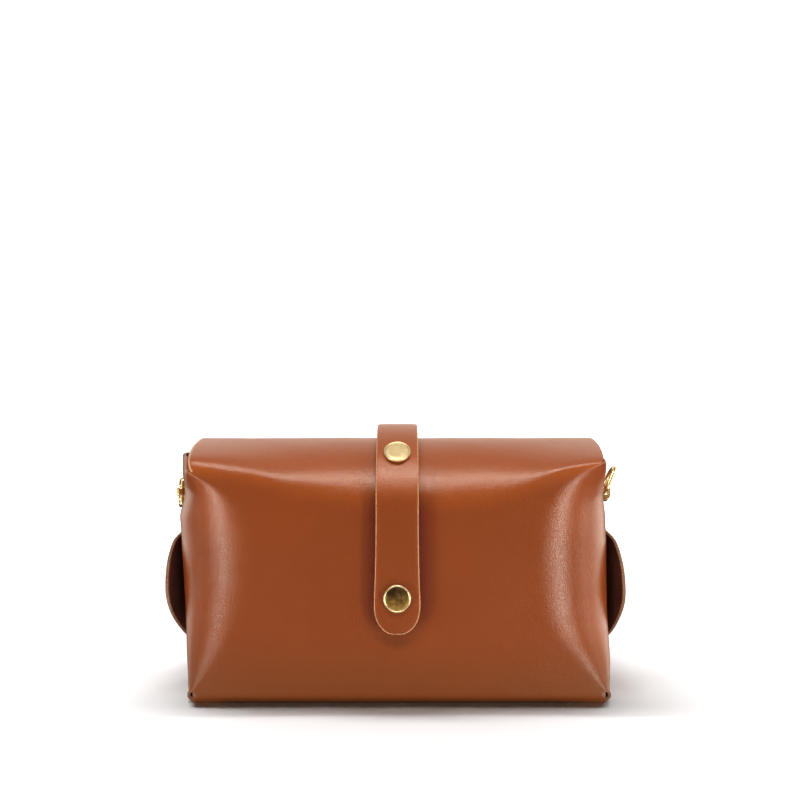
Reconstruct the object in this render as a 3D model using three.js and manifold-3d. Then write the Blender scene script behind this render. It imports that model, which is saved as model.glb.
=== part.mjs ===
// Mini handbag: one folded leather sheet, two leather side gussets, a closing strap with two snaps, and a swinging
// D-ring on each side. Millimetres, +Z up, the front faces -Y, the bag stands on z = 0.
import * as THREE from "three";
import { mergeVertices } from "three/addons/utils/BufferGeometryUtils.js";
import Module from "manifold-3d";

const wasm = await Module();
wasm.setup();

// ---------------------------------------------------------------- sizes
const SHEET = 1.6; // thickness of the body and gusset leather
const STRAP = 1.8; // thickness of the strap leather
const GAP = 0.3; // clearance between pieces that touch
const TOP_Z = 118.5; // top of the arched flap
const NOTCH = { left: 104, right: 109 }; // height of the slits' ends, where the flap leaves the wings
const WING_TOP = 111; // top edge of the wings
const WING_SLANT = 9; // the wings' front edge above the slits' ends runs back by this much
const BASE_Z = -2.3; // height of the bottom below the tables' zero; the whole bag is raised by as much
const FOOT_Z = 4.7; // lower end of the wings
const BOTTOM_R = 6; // outer radius of the bottom folds
const HALF_DEPTH = 42; // half depth of the bag at the floor
const SHIFT_X = 1.2, // move the whole bag, so that its box is centred on the origin
  SHIFT_Y = 2;
const LEAN = 0.05; // the front and back lean in by this much per mm of height
const WING_END_Y = 8; // how far back the front wings reach
const WING_ROUND = 14; // corner radius of the wings' free edge
const LIP_R = 3; // outer radius of the bottom's turned-up side lips
const LIP_TOP = 6.2; // top of those lips
const BACK_TOP = 99; // top edge of the back panel, under the flap
const BACK_WING_TOP = 96; // top of the back panel's side returns
const FLAP_BACK_Y = 40.4; // outer face of the flap's lip behind the back panel
const FLAP_BACK_RISE = 24; // height of the flap's rear arch
const FLAP_END_Z = 84; // lower edge of the flap's lip
const FLAP_HALF = 99.7; // half width of the flap at its top
const EAR_Z = 39.6; // middle height of the rounded back tabs
const EAR_HALF = 31.5; // their half height
const EAR_REACH = 30; // length of their rounded part
const EAR_ROOT = 15.5; // length of the straight part behind it
const EAR_FLARE = 5.2; // degrees that they stand away from the sides
const RETURN = 6; // length of the back panel's side returns above the tabs
const GUSSET_INSET = SHEET + 1.1; // outer face of a gusset inside the outer face of the wing
const GUSSET_TOP = 108.2; // top edge of a gusset in the middle of the side
const GUSSET_TUCK = 9; // length of a gusset tucked behind the front and the back
const STRAP_W = 20; // width of the strap
const STRAP_X = 0.5; // the strap sits this far right of the middle
const STAND_OFF = 4; // clear height between the front and the strap
const STRAP_TOP_OFF = 5.5; // the same over the top
const STRAP_FOOT_Z = 32.5; // lower free end of the strap
const STRAP_ARCH_Z = 85; // height where the strap starts to curve back
const STRAP_BACK_Y = 41.6; // inner face of the strap behind the flap's lip
const STRAP_BACK_Z = 94; // height where the strap runs straight down the back
const STRAP_END_Z = 53; // rear end of the strap
const STRAP_ROUND = 11.5; // length of the strap's rounded ends
const SNAP_LOW_Z = 48.1; // height of the lower snap
const SNAP_UP_TILT = 47.5; // elevation of the upper snap's axis in degrees
const RIVET_Z = 62; // height of the strap's rivet on the back
const CAP_R = 6.25; // snap cap radius
const POST_Z = 91; // height of the ring posts
const POST_Y = 0; // depth of the ring posts
const EYE_OUT = 3.1; // hinge line of a ring off the leather
const WIRE_R = 1.1; // ring wire radius
const BAIL_OUT = 6.2; // how far a post's bail stands off the leather
const BAIL_HALF = 3.6; // its half height
const RING_HALF = 6.5; // half length of a ring's straight bar
const RING_REACH = 13; // hinge line to the middle of a ring's outer bar
const RING_RIGHT = { raise: 64, turn: -20 }; // degrees above level, and turn of the post
const RING_LEFT = { raise: 72, turn: 100 };

// Front panel, a row for each height: x of the soft ridge where the panel bends back, x of the side fold, and how far
// back that fold lies.
const FRONT_LEFT = [
  { z: 4.7, ridge: 94.0, side: 95.6, depth: 2.0, bulge: 0.2 },
  { z: 16, ridge: 88.6, side: 98.9, depth: 8.0, bulge: 0.2 },
  { z: 29, ridge: 84.2, side: 102.2, depth: 14.0, bulge: 0.3 },
  { z: 42, ridge: 81.8, side: 104.5, depth: 18.0, bulge: 0.4 },
  { z: 54, ridge: 80.8, side: 106.2, depth: 20.0, bulge: 0.5 },
  { z: 67, ridge: 80.8, side: 107.4, depth: 20.0, bulge: 0.5 },
  { z: 80, ridge: 81.9, side: 107.8, depth: 18.5, bulge: 0.9 },
  { z: 86, ridge: 83.0, side: 105.7, depth: 16.5, bulge: 1.4 },
  { z: 91, ridge: 84.6, side: 102.6, depth: 13.5, bulge: 4.0 },
  { z: 95.2, ridge: 86.8, side: 100.4, depth: 10.5, bulge: 6.8 },
  { z: 100, ridge: 91.2, side: 99.0, depth: 6.0, bulge: 9.4 },
  { z: 104, ridge: 96.8, side: 97.8, depth: 1.8, bulge: 10.6 },
];
const FRONT_RIGHT = [
  { z: 4.7, ridge: 96.6, side: 98.5, depth: 2.0, bulge: 0.2 },
  { z: 18, ridge: 88.2, side: 101.8, depth: 9.0, bulge: 0.2 },
  { z: 32, ridge: 80.6, side: 103.8, depth: 17.0, bulge: 0.3 },
  { z: 45, ridge: 77.4, side: 105.2, depth: 21.0, bulge: 0.4 },
  { z: 62, ridge: 76.3, side: 105.4, depth: 21.5, bulge: 0.5 },
  { z: 79, ridge: 77.4, side: 104.9, depth: 20.5, bulge: 0.4 },
  { z: 89.8, ridge: 79.5, side: 102.8, depth: 17.5, bulge: 0.5 },
  { z: 95.2, ridge: 81.8, side: 101.7, depth: 14.5, bulge: 2.0 },
  { z: 99.8, ridge: 84.8, side: 100.6, depth: 11.0, bulge: 3.2 },
  { z: 104.4, ridge: 89.6, side: 99.5, depth: 6.5, bulge: 4.2 },
  { z: 109, ridge: 97.2, side: 98.4, depth: 1.8, bulge: 4.6 },
];
// Back panel, the same columns.
const BACK_LEFT = [
  { z: 4.7, ridge: 94.0, side: 95.6, depth: 2.0 },
  { z: 22, ridge: 88.0, side: 103.0, depth: 10.0 },
  { z: 45, ridge: 85.5, side: 108.2, depth: 15.0 },
  { z: 75, ridge: 87.5, side: 110.0, depth: 14.5 },
  { z: 90, ridge: 90.0, side: 109.0, depth: 11.5 },
  { z: 100, ridge: 92.0, side: 106.5, depth: 8.0 },
];
const BACK_RIGHT = [
  { z: 4.7, ridge: 96.6, side: 98.5, depth: 2.0 },
  { z: 22, ridge: 89.0, side: 104.0, depth: 10.0 },
  { z: 45, ridge: 85.0, side: 107.4, depth: 15.0 },
  { z: 75, ridge: 85.0, side: 108.0, depth: 14.5 },
  { z: 90, ridge: 87.5, side: 106.0, depth: 11.5 },
  { z: 100, ridge: 90.5, side: 103.5, depth: 8.0 },
];
// The flap's front arch across the bag: its height, large and soft in the middle and a tight fold at the corners, and
// how far its curve is drawn straight towards a tent.
const ARCH = [
  { x: -97, rise: 9, tent: 1.45 },
  { x: -85, rise: 10, tent: 1.4 },
  { x: -72, rise: 12.5, tent: 1.3 },
  { x: -58, rise: 17.5, tent: 1.2 },
  { x: -42, rise: 23, tent: 1.1 },
  { x: -18, rise: 30, tent: 1 },
  { x: 20, rise: 32, tent: 1 },
  { x: 44, rise: 29.5, tent: 1 },
  { x: 60, rise: 22, tent: 1.1 },
  { x: 74, rise: 14, tent: 1.25 },
  { x: 85, rise: 10.5, tent: 1.4 },
  { x: 97, rise: 9, tent: 1.45 },
];
// Strap down the back: clear height between the back panel and the strap.
const STRAP_REAR = [
  { z: 53, off: 0.45 },
  { z: 66, off: 0.45 },
  { z: 72, off: 1.0 },
  { z: 78, off: 2.2 },
  { z: 84, off: 3.5 },
  { z: 89, off: 4.1 },
  { z: 94, off: 4.3 },
];

// Mesh density
const HALF_COLS = 5, // columns from the middle to the flat front's edge
  BEND_STEPS = 3, // steps round a side bend
  WING_STEPS = 4, // steps along a wing
  FRONT_ROWS = 12,
  ARCH_ROWS = 8,
  REAR_ARCH_ROWS = 6,
  FOLD_ROWS = 4,
  BOTTOM_ROWS = 3,
  EAR_ROWS = 10,
  GUSSET_ROWS = 12,
  GUSSET_COLS = 12;

// ---------------------------------------------------------------- helpers
const rad = THREE.MathUtils.degToRad;
const clamp = THREE.MathUtils.clamp;
const mix = THREE.MathUtils.lerp;
const smooth = (t) => THREE.MathUtils.smoothstep(t, 0, 1);
const range = (n) => Array.from({ length: n + 1 }, (_, i) => i / n);

// Smooth reading of a table's column at a key, with slopes that never overshoot.
function read(table, key, at, column) {
  const n = table.length;
  if (at <= table[0][key]) return table[0][column];
  if (at >= table[n - 1][key]) return table[n - 1][column];
  let i = 0;
  while (table[i + 1][key] < at) i++;
  const step = (j) =>
    (table[j + 1][column] - table[j][column]) /
    (table[j + 1][key] - table[j][key]);
  const slope = (j) => {
    if (j === 0) return step(0);
    if (j === n - 1) return step(n - 2);
    const a = step(j - 1),
      b = step(j);
    return a * b <= 0 ? 0 : (2 * a * b) / (a + b);
  };
  const h = table[i + 1][key] - table[i][key],
    t = (at - table[i][key]) / h,
    t2 = t * t,
    t3 = t2 * t;
  return (
    (2 * t3 - 3 * t2 + 1) * table[i][column] +
    (t3 - 2 * t2 + t) * h * slope(i) +
    (3 * t2 - 2 * t3) * table[i + 1][column] +
    (t3 - t2) * h * slope(i + 1)
  );
}

// A path of straights with rounded corners: trims[i] is cut from both sides of inner corner i + 1.
function roundedPath(corners, trims, straightSteps, bendSteps) {
  const at = (i) => new THREE.Vector2(...corners[i]);
  const points = [at(0)];
  for (let i = 1; i < corners.length; i++) {
    const from = points[points.length - 1],
      corner = at(i),
      last = i === corners.length - 1,
      into = corner.clone().sub(at(i - 1)).normalize(),
      trim = last ? 0 : trims[i - 1],
      stop = corner.clone().addScaledVector(into, -trim),
      steps = straightSteps[i - 1];
    for (let s = 1; s <= steps; s++)
      points.push(from.clone().lerp(stop, s / steps));
    if (last) break;
    const out = at(i + 1).sub(corner).normalize(),
      end = corner.clone().addScaledVector(out, trim);
    const bend = new THREE.QuadraticBezierCurve(stop, corner, end);
    for (let s = 1; s <= bendSteps; s++)
      points.push(bend.getPoint(s / bendSteps));
  }
  return points;
}

// Points at given shares of a polyline's length.
function along(points, shares) {
  const sum = [0];
  for (let i = 1; i < points.length; i++)
    sum.push(sum[i - 1] + points[i].distanceTo(points[i - 1]));
  const total = sum[sum.length - 1];
  return shares.map((share) => {
    const want = clamp(share, 0, 1) * total;
    let i = 0;
    while (i < points.length - 2 && sum[i + 1] < want) i++;
    const seg = sum[i + 1] - sum[i] || 1;
    return points[i].clone().lerp(points[i + 1], (want - sum[i]) / seg);
  });
}

// Closed leather solid from a grid of outer-face points: rows of Vector3 or null where the sheet is cut away.
function sheetSolid(rows, thickness) {
  const nj = rows.length,
    ni = rows[0].length,
    index = rows.map((r) => r.map(() => -1)),
    outer = [],
    normals = [],
    quads = [];
  const id = (j, i) => {
    if (index[j][i] < 0) {
      index[j][i] = outer.length;
      outer.push(rows[j][i]);
      normals.push(new THREE.Vector3());
    }
    return index[j][i];
  };
  for (let j = 0; j + 1 < nj; j++)
    for (let i = 0; i + 1 < ni; i++) {
      const corners = [
        [j, i],
        [j + 1, i],
        [j + 1, i + 1],
        [j, i + 1],
      ];
      if (corners.some(([a, b]) => !rows[a][b])) continue;
      const q = corners.map(([a, b]) => id(a, b));
      const n = outer[q[2]]
        .clone()
        .sub(outer[q[0]])
        .cross(outer[q[3]].clone().sub(outer[q[1]]));
      q.forEach((k) => normals[k].add(n));
      quads.push(q);
    }
  const count = outer.length,
    points = [...outer];
  outer.forEach((p, k) =>
    points.push(p.clone().addScaledVector(normals[k].normalize(), -thickness)),
  );
  const tris = [],
    edges = new Map();
  const quad = (a, b, c, d) => tris.push(a, b, c, a, c, d);
  for (const q of quads) {
    quad(...q);
    quad(...q.map((k) => k + count).reverse());
    q.forEach((a, k) => edges.set(a + "," + q[(k + 1) % 4], true));
  }
  for (const key of edges.keys()) {
    const [a, b] = key.split(",").map(Number);
    if (!edges.has(b + "," + a)) quad(b, a, a + count, b + count);
  }
  const g = new THREE.BufferGeometry();
  g.setAttribute(
    "position",
    new THREE.Float32BufferAttribute(
      points.flatMap((p) => [p.x, p.y, p.z]),
      3,
    ),
  );
  g.setIndex(tris);
  return g;
}

function toSolid(geometry) {
  const g = geometry.clone();
  g.deleteAttribute("normal");
  g.deleteAttribute("uv");
  const m = mergeVertices(g, 1e-4);
  return new wasm.Manifold(
    new wasm.Mesh({
      numProp: 3,
      vertProperties: new Float32Array(m.attributes.position.array),
      triVerts: new Uint32Array(m.index.array),
    }),
  );
}
function toGeometry(solid) {
  const m = solid.getMesh(),
    g = new THREE.BufferGeometry();
  g.setAttribute("position", new THREE.BufferAttribute(m.vertProperties, 3));
  g.setIndex(new THREE.BufferAttribute(m.triVerts, 1));
  g.computeVertexNormals();
  return g;
}
const cutFrom = (geometry, cutters) =>
  toGeometry(
    cutters.reduce((s, c) => s.subtract(toSolid(c)), toSolid(geometry)),
  );
const joined = (parts) =>
  toGeometry(parts.map(toSolid).reduce((a, b) => a.add(b)));

// Turned piece about the local Z axis: rows of radius r and height z, from the axis back to the axis.
const turned = (rows, sides) =>
  new THREE.LatheGeometry(
    rows.map(([r, z]) => new THREE.Vector2(r, z)),
    sides,
  ).rotateX(Math.PI / 2);

// A placement whose local Z looks along a direction, with local X kept as level as it can be.
function placement(position, direction) {
  const z = direction.clone().normalize(),
    x = new THREE.Vector3(0, 0, 1).cross(z);
  if (x.lengthSq() < 1e-6) x.set(1, 0, 0);
  x.normalize();
  const m = new THREE.Matrix4().makeBasis(x, z.clone().cross(x), z);
  m.setPosition(position);
  return m;
}
function holeAt(place, radius, from, to) {
  return new THREE.CylinderGeometry(radius, radius, to - from, 16)
    .rotateX(Math.PI / 2)
    .translate(0, 0, (from + to) / 2)
    .applyMatrix4(place);
}

// ---------------------------------------------------------------- the folded sheet's shape
const frontY = (z) => -(HALF_DEPTH - LEAN * z);
const backY = (z) => HALF_DEPTH - LEAN * z;
const frontTable = (side) => (side < 0 ? FRONT_LEFT : FRONT_RIGHT);
const rearTable = (side) => (side < 0 ? BACK_LEFT : BACK_RIGHT);
const SOFT = { left: 0.46, right: 0.36, back: 0.42 }; // share of the facet that the ridge's bend takes

// Half section of the front or back at a height: ridge, side fold and the trims of their bends.
function section(table, z, soft) {
  const ridge = read(table, "z", z, "ridge"),
    side = read(table, "z", z, "side"),
    depth = read(table, "z", z, "depth"),
    facet = Math.hypot(side - ridge, depth);
  return { ridge, side, depth, ridgeTrim: soft * facet, sideTrim: 0.42 * facet };
}
const frontSection = (side, z) => ({
  ...section(frontTable(side), z, side < 0 ? SOFT.left : SOFT.right),
  bulge: read(frontTable(side), "z", z, "bulge"),
});
const rearSection = (side, z) => section(rearTable(side), z, SOFT.back);
const flatEdge = (s) => s.ridge - s.ridgeTrim;

// Front face of the flap's arch: it starts at height from and reaches the top over the middle of the bag.
function arch(x) {
  const rise = read(ARCH, "x", x, "rise"),
    from = TOP_Z - rise;
  return { rise, from, reach: -frontY(from), tent: read(ARCH, "x", x, "tent") };
}
const archPoint = (a, angle) =>
  new THREE.Vector2(
    -a.reach * Math.max(0, Math.cos(angle)) ** a.tent,
    a.from + a.rise * Math.sin(angle) ** a.tent,
  );
const archAngle = (a, z) =>
  Math.asin(clamp((z - a.from) / a.rise, 0, 1) ** (1 / a.tent));
function faceY(x, z) {
  const a = arch(x);
  return z <= a.from ? frontY(z) : archPoint(a, archAngle(a, z)).x;
}
// Line from the flap's top down to the height where the front panel starts, at one x.
function archLine(x, low) {
  const a = arch(x),
    last = archAngle(a, low),
    line = range(60).map((t) => archPoint(a, mix(Math.PI / 2, last, t)));
  if (a.from > low) line.push(new THREE.Vector2(frontY(low), low));
  return line;
}
const notchZ = (side) => (side < 0 ? NOTCH.left : NOTCH.right);
const tilted = (left, right, u) => mix(left, right, (u + 1) / 2);
const FLAP_EDGE = (side) => flatEdge(frontSection(side, notchZ(side)));
const FOOT_EDGE = (side) => flatEdge(frontSection(side, FOOT_Z));

// A wing's outer face in plan: it leaves the side fold and swells out towards its free end.
const foldY = (side, z) => frontY(z) + frontSection(side, z).depth;
function wingX(side, z, y) {
  const s = frontSection(side, z),
    y0 = foldY(side, z),
    t = Math.max(0, (y - y0) / (WING_END_Y - y0));
  return s.side + s.bulge * t * (2 - t);
}
// Free end of a wing at a height, with rounded corners.
function wingEnd(z) {
  const corner = Math.max(
    0,
    (FOOT_Z + WING_ROUND - z) / WING_ROUND,
    (z - WING_TOP + WING_ROUND) / WING_ROUND,
  );
  return WING_END_Y - WING_ROUND * (1 - Math.sqrt(Math.max(0, 1 - corner ** 2)));
}
const wingPoint = (side, z, y) =>
  new THREE.Vector3(side * wingX(side, z, y), y, z);

const OUTER = 1 + BEND_STEPS * 2 + WING_STEPS; // columns beyond the flat panel on each side
const COLS = 2 * (HALF_COLS + OUTER) + 1;
const MIDDLE = HALF_COLS + OUTER;

// One row of the grid: flat(i) gives a point for column share -1..1, wing(side) the points beyond each flat edge.
function gridRow(flat, wing) {
  const row = Array(COLS).fill(null);
  for (let i = -HALF_COLS; i <= HALF_COLS; i++)
    row[MIDDLE + i] = flat(i / HALF_COLS);
  if (wing)
    for (const side of [-1, 1])
      wing(side).forEach((p, k) => {
        row[MIDDLE + side * (HALF_COLS + 1 + k)] = p;
      });
  return row;
}
const edgeX = (edge, u) => u * edge(Math.sign(u) || 1);

// Row of the front panel at a share of its height: 1 at the slits' ends, 0 at the wings' foot.
function frontRow(share) {
  const zAt = (side) => mix(FOOT_Z, notchZ(side), share),
    edge = (side) => flatEdge(frontSection(side, zAt(side)));
  const wing = (side) => {
    const z = zAt(side),
      s = frontSection(side, z),
      y0 = foldY(side, z),
      end = wingEnd(z),
      from = Math.min(y0 + s.sideTrim, mix(y0, end, 0.8)),
      start = new THREE.Vector2(wingX(side, z, from), from - frontY(z)),
      path = roundedPath(
        [
          [flatEdge(s), 0],
          [s.ridge, 0],
          [s.side, s.depth],
        ],
        [s.ridgeTrim],
        [0, 0],
        BEND_STEPS,
      ),
      fold = new THREE.Vector2(s.side, s.depth),
      into = fold.clone().sub(path[path.length - 1]).normalize(),
      bend = new THREE.QuadraticBezierCurve(
        fold.clone().addScaledVector(into, -s.sideTrim),
        fold,
        start,
      );
    const plan = [
      ...path.slice(1),
      ...range(BEND_STEPS).map((t) => bend.getPoint(t)),
    ].map((p) => new THREE.Vector3(side * p.x, frontY(z) + p.y, z));
    return [
      ...plan,
      ...range(WING_STEPS)
        .slice(1)
        .map((t) => wingPoint(side, z, mix(from, end, t))),
    ];
  };
  return gridRow((u) => {
    const x = edgeX(edge, u),
      z = tilted(zAt(-1), zAt(1), u);
    return new THREE.Vector3(x, faceY(x, z), z);
  }, wing);
}
// Row of the wings alone above the slits' ends, at a share of the way up to their top edge.
function upperWing(side, share) {
  const low = notchZ(side),
    z = mix(low, WING_TOP, share),
    s = frontSection(side, low),
    from = foldY(side, low) + s.sideTrim + WING_SLANT * share;
  return [
    ...Array(OUTER - WING_STEPS - 1).fill(null),
    ...range(WING_STEPS).map((t) => wingPoint(side, z, mix(from, wingEnd(z), t))),
  ];
}

function backRow(z) {
  const edge = (side) => flatEdge(rearSection(side, z));
  const flat = (u) => new THREE.Vector3(edgeX(edge, u), backY(z), z);
  if (z > BACK_WING_TOP) return gridRow(flat);
  const off = Math.abs(z - EAR_Z),
    tab = smooth((EAR_HALF + 4 - off) / 8),
    length =
      mix(RETURN, EAR_ROOT, tab) +
      EAR_REACH * Math.sqrt(Math.max(0, 1 - (off / EAR_HALF) ** 2)),
    flare = rad(EAR_FLARE * tab);
  return gridRow(flat, (side) => {
    const s = rearSection(side, z);
    return roundedPath(
      [
        [flatEdge(s), 0],
        [s.ridge, 0],
        [s.side, s.depth],
        [
          s.side + length * Math.sin(flare),
          s.depth + length * Math.cos(flare),
        ],
      ],
      [s.ridgeTrim, Math.min(s.sideTrim, 0.8 * length)],
      [0, 1, WING_STEPS],
      BEND_STEPS,
    )
      .slice(1)
      .map((p) => new THREE.Vector3(side * p.x, backY(z) - p.y, z));
  });
}

function bodyRows() {
  const rows = [];
  const lane = (u) => u * FLAP_HALF,
    foot = (u) => edgeX(FOOT_EDGE, u);
  const rearRise = TOP_Z - FLAP_BACK_RISE;
  // flap: lip behind the back panel, rear arch, front arch
  rows.push(
    gridRow((u) => new THREE.Vector3(lane(u), FLAP_BACK_Y, FLAP_END_Z)),
  );
  for (const t of range(REAR_ARCH_ROWS).slice(0, -1)) {
    const a = (t * Math.PI) / 2;
    rows.push(
      gridRow(
        (u) =>
          new THREE.Vector3(
            lane(u),
            FLAP_BACK_Y * Math.cos(a),
            rearRise + FLAP_BACK_RISE * Math.sin(a),
          ),
      ),
    );
  }
  const shares = range(ARCH_ROWS).map((t) => 1 - (1 - t) ** 1.35);
  const lines = new Map();
  const upper = [1, 0.5]; // the wings' own rows beside the flap's last rows
  for (let j = 0; j < ARCH_ROWS; j++) {
    const k = j - ARCH_ROWS + upper.length;
    rows.push(
      gridRow(
        (u) => {
          const x = edgeX(FLAP_EDGE, u);
          if (!lines.has(u))
            lines.set(
              u,
              along(archLine(x, tilted(NOTCH.left, NOTCH.right, u)), shares),
            );
          const p = lines.get(u)[j];
          return new THREE.Vector3(mix(lane(u), x, shares[j] ** 2), p.x, p.y);
        },
        k < 0 ? null : (side) => upperWing(side, upper[k]),
      ),
    );
  }
  // front panel with its wings
  for (const t of range(FRONT_ROWS))
    rows.push(frontRow((1 + Math.cos(t * Math.PI)) / 2));
  // front fold, bottom with side lips, rear fold
  const startY = frontY(BASE_Z + BOTTOM_R) + BOTTOM_R;
  for (const t of range(FOLD_ROWS).slice(0, -1)) {
    const a = (t * Math.PI) / 2;
    rows.push(
      gridRow(
        (u) =>
          new THREE.Vector3(
            foot(u),
            startY - BOTTOM_R * Math.cos(a),
            BASE_Z + BOTTOM_R * (1 - Math.sin(a)),
          ),
      ),
    );
  }
  for (const t of range(BOTTOM_ROWS)) {
    const y = mix(startY, -startY, t);
    rows.push(
      gridRow(
        (u) => new THREE.Vector3(foot(u), y, BASE_Z),
        (side) => [
          ...range(BEND_STEPS)
            .slice(1)
            .map((s) => {
              const a = (s * Math.PI) / 2;
              return new THREE.Vector3(
                side * (FOOT_EDGE(side) + LIP_R * Math.sin(a)),
                y,
                BASE_Z + LIP_R * (1 - Math.cos(a)),
              );
            }),
          new THREE.Vector3(side * (FOOT_EDGE(side) + LIP_R), y, BASE_Z + LIP_TOP),
        ],
      ),
    );
  }
  for (const t of range(FOLD_ROWS).slice(1)) {
    const a = (t * Math.PI) / 2;
    rows.push(
      gridRow(
        (u) =>
          new THREE.Vector3(
            foot(u),
            -startY + BOTTOM_R * Math.sin(a),
            BASE_Z + BOTTOM_R * (1 - Math.cos(a)),
          ),
      ),
    );
  }
  // back panel with its rounded tabs
  const heights = [
    FOOT_Z,
    ...range(EAR_ROWS).map((t) => EAR_Z - EAR_HALF * Math.cos(t * Math.PI)),
    EAR_Z + EAR_HALF + 3,
    EAR_Z + EAR_HALF + 7,
    85,
    91,
    BACK_WING_TOP,
    BACK_TOP,
  ];
  heights.forEach((z) => rows.push(backRow(z)));
  return rows;
}

// ---------------------------------------------------------------- gussets
// Corners of the side at a height, moved inward: front, ridge, side fold, wing, rear side fold, rear ridge, back.
function gussetLine(side, z) {
  const f = frontSection(side, z),
    b = rearSection(side, z),
    corners = [
      [60, frontY(z)],
      [f.ridge, frontY(z)],
      [f.side, frontY(z) + f.depth],
      ...[0.75, 1].map((t) => {
        const y = mix(frontY(z) + f.depth, WING_END_Y, t);
        return [wingX(side, z, y), y];
      }),
      [b.side, backY(z) - b.depth],
      [b.ridge, backY(z)],
      [60, backY(z)],
    ].map((c) => new THREE.Vector2(...c));
  const lines = corners.slice(1).map((c, i) => {
    const d = c.clone().sub(corners[i]).normalize(),
      n = new THREE.Vector2(-d.y, d.x);
    return { p: c.clone().addScaledVector(n, GUSSET_INSET), d };
  });
  const meet = (a, b) => {
    const t =
      ((b.p.x - a.p.x) * b.d.y - (b.p.y - a.p.y) * b.d.x) /
      (a.d.x * b.d.y - a.d.y * b.d.x || 1e-9);
    return a.p.clone().addScaledVector(a.d, t);
  };
  const inner = lines.slice(1).map((l, i) =>
    Math.abs(lines[i].d.cross(l.d)) < 1e-4
      ? lines[i].p.clone()
      : meet(lines[i], l),
  );
  const ends = [
    new THREE.Vector2(60, inner[0].y),
    new THREE.Vector2(60, inner[inner.length - 1].y),
  ];
  const path = [ends[0], ...inner, ends[1]];
  const shares = [0.45, 0.78, 0.15, 0.3, 0.45, 0.45];
  const trims = inner.map(
    (c, i) =>
      shares[i] * Math.min(c.distanceTo(path[i]), c.distanceTo(path[i + 2])),
  );
  const points = roundedPath(
    path.map((p) => [p.x, p.y]),
    trims,
    path.map(() => 4),
    8,
  );
  const total = points.reduce(
    (s, p, i) => (i ? s + p.distanceTo(points[i - 1]) : 0),
    0,
  );
  const share = (corner) => {
    let best = 0,
      near = 1e9,
      run = 0;
    points.forEach((p, i) => {
      if (i) run += p.distanceTo(points[i - 1]);
      const d = p.distanceTo(corner);
      if (d < near) [near, best] = [d, run];
    });
    return best / total;
  };
  return {
    points,
    from: share(inner[1]) - GUSSET_TUCK / total,
    to: share(inner[4]) + GUSSET_TUCK / total,
  };
}
function gussetGeometry(side) {
  const rows = [];
  const at = (s, z) => {
    const line = gussetLine(side, clamp(z, FOOT_Z, notchZ(side)));
    return along(line.points, [mix(line.from, line.to, s)])[0];
  };
  for (const w of range(GUSSET_ROWS).reverse()) {
    const row = range(GUSSET_COLS).map((s) => {
      const low = at(s, FOOT_Z).y,
        high = at(s, notchZ(side)).y,
        bottom = BASE_Z + SHEET + 0.4 + 5 * smooth((Math.abs(low) - 31) / 7),
        top =
          GUSSET_TOP -
          11.5 * smooth((high - 12) / 20) -
          5.5 * smooth((-high - 16) / 18),
        bend = Math.min(notchZ(side), top - 2),
        z =
          w < 0.75
            ? mix(bottom, bend, (1 - Math.cos((w / 0.75) * Math.PI)) / 2)
            : mix(bend, top, (w - 0.75) / 0.25),
        p = at(s, z);
      return new THREE.Vector3(side * p.x, p.y, z);
    });
    rows.push(side > 0 ? row : row.reverse());
  }
  return sheetSolid(rows, SHEET);
}

// ---------------------------------------------------------------- strap
function strapLine() {
  const top = TOP_Z + STRAP_TOP_OFF,
    reach = STAND_OFF - frontY(STRAP_ARCH_Z),
    rise = top - STRAP_ARCH_Z,
    rear = top - STRAP_BACK_Z,
    points = [];
  for (const t of range(30))
    points.push(
      (() => {
        const z = mix(STRAP_FOOT_Z, STRAP_ARCH_Z, t);
        return new THREE.Vector2(frontY(z) - STAND_OFF, z);
      })(),
    );
  for (const t of range(60).slice(1)) {
    const a = (t * Math.PI) / 2;
    points.push(
      new THREE.Vector2(
        -reach * Math.cos(a),
        STRAP_ARCH_Z + rise * Math.sin(a),
      ),
    );
  }
  for (const t of range(50).slice(1)) {
    const a = ((1 - t) * Math.PI) / 2;
    points.push(
      new THREE.Vector2(
        STRAP_BACK_Y * Math.cos(a),
        STRAP_BACK_Z + rear * Math.sin(a),
      ),
    );
  }
  for (const t of range(40).slice(1)) {
    const z = mix(STRAP_BACK_Z, STRAP_END_Z, t);
    points.push(
      new THREE.Vector2(backY(z) + read(STRAP_REAR, "z", z, "off"), z),
    );
  }
  return points;
}
const STRAP_LINE = strapLine();
function strapGeometry() {
  const length = STRAP_LINE.reduce(
    (s, p, i) => (i ? s + p.distanceTo(STRAP_LINE[i - 1]) : 0),
    0,
  );
  const ends = [0, 0.4, 1.3, 2.8, 5, 8, STRAP_ROUND],
    stations = [
      ...ends,
      ...range(26)
        .slice(1, -1)
        .map((t) => mix(STRAP_ROUND, length - STRAP_ROUND, t)),
      ...ends.map((e) => length - e).reverse(),
    ];
  const line = along(
    STRAP_LINE,
    stations.map((s) => s / length),
  );
  const rows = stations.map((s, j) => {
    const near = Math.min(s, length - s, STRAP_ROUND) / STRAP_ROUND,
      half =
        (STRAP_W / 2) *
        mix(0.14, 1, Math.sqrt(1 - (1 - near) ** 2)),
      a = line[Math.max(0, j - 1)],
      b = line[Math.min(line.length - 1, j + 1)],
      t = b.clone().sub(a).normalize(),
      p = line[j].clone().addScaledVector(new THREE.Vector2(-t.y, t.x), STRAP);
    return [-1, 0, 1].map(
      (u) => new THREE.Vector3(STRAP_X + u * half, p.x, p.y),
    );
  });
  return sheetSolid(rows.reverse(), STRAP);
}

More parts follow.
